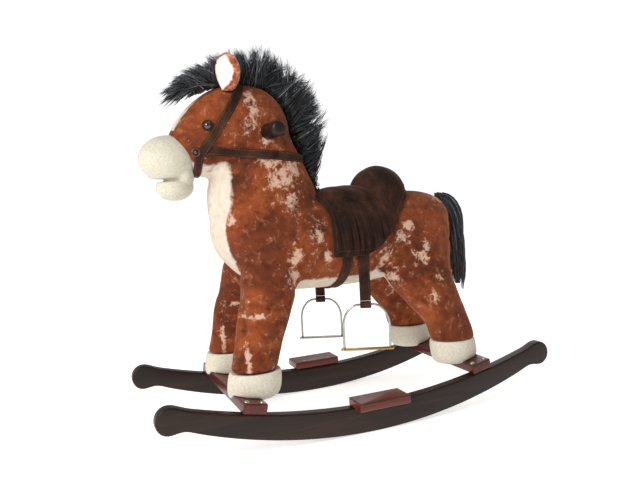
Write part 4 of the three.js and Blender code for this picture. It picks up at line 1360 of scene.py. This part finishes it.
# %% Make the bridle rings
ring_lift = 4.2
metalwork = []
for side in SIDES.values():
    origin = Vector((side * looking_from * MM, -0.262, 0.482))
    hit = np.array(surface.ray_cast(origin, Vector((-side, 0, 0)))[0]) / MM
    centre = hit + [side * ring_lift, 0, 0]
    metalwork.append(ring_about(centre, (side, -0.2, 0), 6.2, 1.1))
    points, faces, _ = dome(3.0, 12, 24)
    metalwork.append((points * [0.6, 1, 1] + centre, faces))
rings = add_mesh("bridle_rings", *joined(metalwork))
finished(rings, "horse", "stirrup_steel", dark_steel)

# %% [markdown]
# ## Stirrups on their straps
# A suede strap comes from under each flap and folds round the stirrup's wire.
# The stirrup is one bent wire with a flat tread across the bottom. The wire's
# path is straight down, a half circle over the top flattened at the strap, and
# straight down again.

# %% Places of the stirrups
stirrup_turn = 25 * DEG
strap_out, strap_reach, strap_top = 100.0, 4.0, 294.0
strap_thick, fold_radius = 2.4, 5.4
wire_height = {"left": 210.0, "right": 191.0}
arch_height = 78.0
across = np.array([np.sin(stirrup_turn), np.cos(stirrup_turn), 0])
face = np.cross(across, [0, 0, 1.0])
upward = np.array([0, 0, 1.0])


def alike(direction, path):
    """The same direction for every point of a path."""
    return np.broadcast_to(direction, path.shape)


# %% Straps down to the stirrups
def hanging_strap(anchor, height):
    """A straight strap from under the flap to the wire, and its path. It widens
    from 14 to 19 mm over its first 5 mm."""
    z = np.linspace(strap_top + 10, height + 7, 28)
    path = anchor + np.stack([0 * z, 0 * z, z], 1)
    width = np.minimum(19.0, 14.0 + np.clip(strap_top + 10 - z, 0, 5))
    outline = rounded_outline(1.0, strap_thick, 0.3, 3)
    return sweep(path, across * width[:, None], alike(face, path), outline), path


def wire_loop(centre):
    """The strap's end folded round the wire: an arc of 320 degrees."""
    a = np.linspace(20, 340, 40)[:, None] * DEG
    spoke = np.sin(a) * face + np.cos(a) * upward
    return sweep(centre + fold_radius * spoke, alike(across, spoke), spoke,
                 rounded_outline(19, 2.0, 0.7, 3))


def strap_seams(path):
    """A row of stitches along each edge of the hanging strap, on both faces."""
    lift = alike(face, path)
    return [stitches(path + across * s * 7.2 + lift * f * strap_thick / 2, lift * f, 4.4)
            for s in (-1, 1) for f in (-1, 1)]


# %% Wire and tread
def wire_arch(width=80.0, flat=24.0, steps=60):
    """The stirrup's wire as (across, down): a flat top, quarter ellipses, legs."""
    a = np.linspace(0, np.pi / 2, steps // 2)
    bend_w, bend_h = width / 2 - flat / 2, 38.0
    bend = np.stack([flat / 2 + bend_w * np.sin(a), -bend_h * (1 - np.cos(a))], 1)
    leg = np.stack([np.full(8, width / 2), np.linspace(-bend_h, -arch_height, 9)[1:]], 1)
    one_side = np.concatenate([bend, leg])
    return np.concatenate([(one_side * [-1, 1])[::-1], one_side])


def stirrup_wire(centre):
    """A 4 mm wire carried along the arch."""
    arch = wire_arch()
    path = centre + arch[:, :1] * across + arch[:, 1:] * upward
    along = unit(np.gradient(path, axis=0))
    return sweep(path, alike(face, path), np.cross(along, face), circle(2.0, 14))


def stirrup_tread(centre, half_length=46.0, steps=40):
    """A flat bar across the foot of the arch, narrowed over its last 2.5 mm."""
    t = np.linspace(-half_length, half_length, steps)
    path = centre - arch_height * upward + t[:, None] * across
    taper = np.clip((half_length + 0.5 - np.abs(t)) / 3, 0.3, 1)[:, None]
    return sweep(path, taper * face, alike(upward, path), rounded_outline(11, 3.2, 1.4, 4))


# %% Make straps and stirrups
for side_name, side in SIDES.items():
    anchor = np.array([side * strap_out, strap_reach, 0])
    centre = anchor + wire_height[side_name] * upward
    band, path = hanging_strap(anchor, wire_height[side_name])
    leather = add_mesh(f"stirrup_leather_{side_name}", *joined([band, wire_loop(centre)]))
    finished(leather, f"strap_{side_name}", "strap_suede", strap_suede, f"stirrup_strap_{side_name}")
    seams = add_mesh(f"leather_stitches_{side_name}", *joined(strap_seams(path[6:])))
    finished(seams, f"strap_{side_name}", "strap_suede", thread)
    stirrup = add_mesh(f"stirrup_wire_{side_name}", *stirrup_wire(centre))
    finished(stirrup, f"stirrup_{side_name}", "stirrup_steel", steel, f"stirrup_{side_name}")
    tread = add_mesh(f"stirrup_tread_{side_name}", *stirrup_tread(centre))
    finished(tread, f"stirrup_{side_name}", "stirrup_steel", brass if side > 0 else steel)

# %% [markdown]
# ## Mane, forelock and tail
# Long black artificial fur is made of separate tapered locks, thousands of
# them, over a dark core, so that the outline breaks up into tips. A lock is a
# curve with three handles: its root, a point it passes near, and its tip. Its
# radius falls to almost nothing at the tip. Every lock is worked out at once
# as one large array.

# %% Locks of hair
def locks(name, root, middle, tip, thick, body, slot, *nodes, sides=3, steps=7):
    """Each lock follows (1-t)^2 root + 2t(1-t) middle + t^2 tip, and its radius
    is thick x (1-t)^0.7, slimmer by a sine at the start, and 0.6 as deep as wide."""
    t = np.linspace(0, 1, steps)[None, :, None]
    spine = (1 - t) ** 2 * root[:, None] + 2 * t * (1 - t) * middle[:, None] + t ** 2 * tip[:, None]
    along = unit(np.gradient(spine, axis=1))
    hint = unit(rng.normal(size=(len(root), 1, 3)))
    side = unit(np.cross(along, hint))
    lift = np.cross(along, side)
    taper = np.clip(1 - t, 0.02, 1) ** 0.7
    belly = 0.55 + 0.45 * np.sin(np.pi * np.clip(t * 1.6 + 0.2, 0, 1))
    radius = thick[:, None, None] * taper * belly
    a = once_round(sides)
    around = (side[:, :, None] * np.cos(a)[None, None, :, None]
              + 0.6 * lift[:, :, None] * np.sin(a)[None, None, :, None])
    rings = spine[:, :, None] + radius[:, :, None] * around
    count = len(root)
    first = steps * sides * np.arange(count)[:, None, None]
    faces = [(f + first).reshape(-1, f.shape[1]) for f in tube_faces(steps, sides)]
    fur = add_mesh(name, rings.reshape(-1, 3), faces)
    # Each lock's share of painted highlight, for the blue-grey locks.
    lock_highlight = np.repeat(rng.beta(1.6, 3.2, count), steps * sides)
    paint(fur, "lock_highlight", lock_highlight)
    paint(fur, "along", np.broadcast_to(t[..., None], (count, steps, sides, 1)).ravel())
    return finished(fur, body, slot, black_hair, *nodes)


def along_curve(handles, share):
    """Points on a smooth curve through the handles, at shares 0 to 1 of it."""
    fine = smooth_rows(handles, 200)
    at = np.clip(share, 0, 1) * 199
    return np.stack([np.interp(at, np.arange(200), row) for row in fine.T], 1)


def dark_core(name, points, faces, body):
    """A solid under the locks, all of it in the darkest tone of the hair, with no painted highlight."""
    core = add_mesh(name, points, faces)
    paint(core, "lock_highlight", np.full(len(points), 0.05))
    paint(core, "along", np.zeros(len(points)))
    return finished(core, body, "black_fur", black_hair)


# %% Make the mane
# The crest, where the locks are rooted, and the line of their tips, as (y, z).
CREST = [(-258, 582), (-226, 596), (-196, 600), (-160, 598), (-122, 590), (-92, 560), (-76, 520),
         (-64, 478), (-52, 436), (-42, 412)]
MANE_TIPS = [(-300, 584), (-276, 612), (-240, 634), (-186, 654), (-118, 660), (-58, 622), (-24, 582),
             (-12, 528), (-26, 472), (-44, 416)]
tufts, each = 300, 17
count = tufts * each
tuft_share = np.repeat(np.sort(rng.uniform(0, 1, tufts)), each)
tuft_reach = np.repeat(rng.uniform(0.78, 1.12, tufts), each)
tuft_lean = np.repeat(rng.normal(0.04, 0.045, tufts), each)
tuft_side = np.repeat(rng.normal(0, 1, tufts).clip(-1.8, 1.8), each)
share = np.clip(tuft_share + rng.normal(0, 0.022, count), 0, 1)
root = along_curve(CREST, share)
tip = along_curve(MANE_TIPS, np.clip(tuft_share + tuft_lean + rng.normal(0, 0.006, count), 0, 1))
reach = (tuft_reach * rng.uniform(0.80, 1.0, count))[:, None]
tip = root + (tip - root) * reach
root3 = np.column_stack([tuft_side * 9 + rng.normal(0, 3, count), root - 6 * unit(tip - root)])
tip3 = np.column_stack([tuft_side * 12 + rng.normal(0, 1.2, count), tip])
bow = np.column_stack([tuft_side * 3.5, 9 * (0.3 + share), 9 * (1.1 - share) + 4])
middle3 = (root3 + tip3) / 2 + bow * rng.uniform(0.6, 1.1, count)[:, None]
locks("mane_hair", root3, middle3, tip3, rng.uniform(1.2, 2.7, count), "horse", "black_fur", "mane")

# %% Make the mane's core
def core_rings(crest, tips, rows=60, around=20):
    """Ovals a fifth of the way from the crest to the tips: 10 mm x cosine across,
    0.34 x that distance x sine along it, both shrinking towards the ends."""
    fine_crest, fine_tips = smooth_rows(crest, rows), smooth_rows(tips, rows)
    reach = np.linalg.norm(fine_tips - fine_crest, axis=1)
    fullness = np.sin(np.linspace(0.2, np.pi - 0.2, rows))
    a = once_round(around)[None]
    middle = fine_crest + 0.20 * (fine_tips - fine_crest)
    size = 0.34 * reach * fullness ** 0.5
    way = unit(fine_tips - fine_crest)
    x = 10 * fullness[:, None] * np.cos(a)
    yz = middle[:, None] + way[:, None] * (size[:, None] * np.sin(a))[..., None]
    return np.concatenate([x[..., None], yz], -1).reshape(-1, 3), tube_faces(rows, around)


dark_core("mane_core", *core_rings(CREST, MANE_TIPS), "horse")

# %% Make the forelock
tufts, each = 110, 18
count = tufts * each
share = np.repeat(rng.uniform(0, 1, tufts), each)
length = np.repeat(rng.uniform(0.4, 1.0, tufts), each) * rng.uniform(0.85, 1.0, count)
droop = np.repeat(rng.normal(-2, 9, tufts), each)
aside = np.repeat(rng.normal(-8, 10, tufts), each)
root3 = np.column_stack([aside + rng.normal(0, 3, count), -208 - 30 * share, 596 - 10 * share])
tip3 = np.column_stack([aside * 1.2 + rng.normal(0, 1.5, count), -238 - 72 * length + 10 * (1 - share),
                        608 - 36 * length ** 1.5 + droop])
arch = np.column_stack([np.zeros(count), np.full(count, -4.0), rng.uniform(14, 24, count)])
middle3 = (root3 + tip3) / 2 + arch
locks("forelock_hair", root3, middle3, tip3, rng.uniform(1.1, 2.3, count), "horse", "black_fur")

# %% Make the tail
tufts, each = 150, 16
count = tufts * each
start = np.repeat(rng.uniform(0, 1, tufts) ** 1.4, each)
a = np.repeat(rng.uniform(0, 2 * np.pi, tufts), each) + rng.normal(0, 0.16, count)
ROOT_LINE = [(221, 388), (236, 382), (252, 362), (261, 318), (265, 262)]
root = along_curve(ROOT_LINE, start * 0.9)
spread = 0.35 + 0.65 * np.clip(start * 3, 0, 1)
root3 = np.column_stack([11 * spread * np.cos(a), root[:, 0] + 7 * spread * np.sin(a),
                         root[:, 1] + rng.normal(0, 2, count)])
drop = np.repeat(rng.uniform(70, 140, tufts), each) * rng.uniform(0.85, 1, count)
low = np.maximum(root3[:, 2] - drop, 190 + np.repeat(rng.uniform(0, 30, tufts), each))
tip3 = np.column_stack([15 * np.cos(a) + rng.normal(0, 1, count), 267 + 13 * np.sin(a), low])
bend = np.clip(1 - start * 2.2, 0, 1)
middle3 = np.column_stack([
    (root3[:, 0] + tip3[:, 0]) / 2 + 8 * np.cos(a),
    (root3[:, 1] + tip3[:, 1]) / 2 + 7 * np.sin(a) + 5 + 18 * bend,
    (root3[:, 2] + tip3[:, 2]) / 2 + 8 + bend * (root3[:, 2] - tip3[:, 2]) * 0.42])
locks("tail_hair", root3, middle3, tip3, rng.uniform(1.2, 2.5, count), "tail", "black_fur", "tail")

# %% Make the tail's core
TAIL_CORE = [(208, 0, 266, 5, 5), (250, 0, 265, 10, 10), (300, 0, 262, 12, 12),
             (346, 0, 254, 12, 13), (370, 0, 245, 11, 13), (383, 0, 235, 7, 9)]
dark_core("tail_core", *loft("z", TAIL_CORE, around=20, count=40), "tail")

# %% [markdown]
# ## Pieces inside
# The inner frame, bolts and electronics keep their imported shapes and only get
# a finish: pine, plated steel and black plastic.

# %% Finish the inner pieces
inner_finish = {"leg_post": frame_wood, "spine_board": frame_wood, "neck_post": frame_wood,
                "leg_bolt": screw_steel, "sound_box": black_plastic, "jaw_drive": black_plastic,
                "tail_drive": black_plastic, "ear_switch": black_plastic, "ear_button": black_plastic}
for name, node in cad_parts.items():
    for start, material in inner_finish.items():
        if name.startswith(start):
            node.data.materials.clear()
            node.data.materials.append(material)

# %% [markdown]
# ## Floor and light
# A wide white floor and a white surround, with one large soft light from in
# front of the horse's head and a weaker one opposite, so that forms read but
# shadows stay soft. The surround is brighter where it is seen than where it
# lights the toy, which keeps the ground white and the forms deep.

# %% Floor and lights
def studio_floor():
    """Almost white, with a faint unevenness, and a glow that lifts its shadows."""
    f = Finish("studio_floor", Roughness=0.9, Emission_Strength=0.62,
               Emission_Color=(1.0, 0.995, 0.985, 1.0))
    f.color(f.ramp(f.noise(3.0, 2.0), [(0.3, srgb(250, 249, 247)), (0.7, srgb(255, 254, 252))]))
    return f.material


floor_reach, floor_drop = 6000.0, 0.4
corners = [(sx * floor_reach, sy * floor_reach, -floor_drop)
           for sx, sy in ((-1, -1), (1, -1), (1, 1), (-1, 1))]
floor = add_mesh("floor", corners, [np.array([[0, 1, 2, 3]])], outward=False)
floor.data.materials.append(studio_floor())

world = bpy.data.worlds.new("surround")
scene.world = world
world.use_nodes = True
world.node_tree.nodes["Background"].inputs["Color"].default_value = (1.0, 1.0, 1.0, 1.0)
surround = world.node_tree.nodes["Background"].inputs["Strength"]
seen = world.node_tree.nodes.new("ShaderNodeLightPath").outputs["Is Camera Ray"]
brighter = world.node_tree.nodes.new("ShaderNodeMapRange")
brighter.inputs["To Min"].default_value = 0.42
brighter.inputs["To Max"].default_value = 1.05
world.node_tree.links.new(seen, brighter.inputs["Value"])
world.node_tree.links.new(brighter.outputs[0], surround)


def soft_light(name, place, target, size, power, tint=(1, 1, 1)):
    """A square light that looks at a target."""
    lamp = bpy.data.lights.new(name, "AREA")
    lamp.size = size
    lamp.energy = power
    lamp.color = tint
    obj = bpy.data.objects.new(name, lamp)
    scene.collection.objects.link(obj)
    aim = Vector(target) - Vector(place)
    obj.matrix_world = Matrix.Translation(place) @ aim.to_track_quat("-Z", "Y").to_matrix().to_4x4()


soft_light("key", (0.9, -1.6, 1.3), (0, -0.15, 0.3), 0.9, 28, (1.0, 0.97, 0.93))
soft_light("fill", (-1.4, 1.2, 1.5), (0, 0, 0.3), 1.6, 8)
scene.view_settings.view_transform = "Standard"

# %% [markdown]
# ## Last update

# %% Bring the scene up to date
bpy.context.view_layer.update()
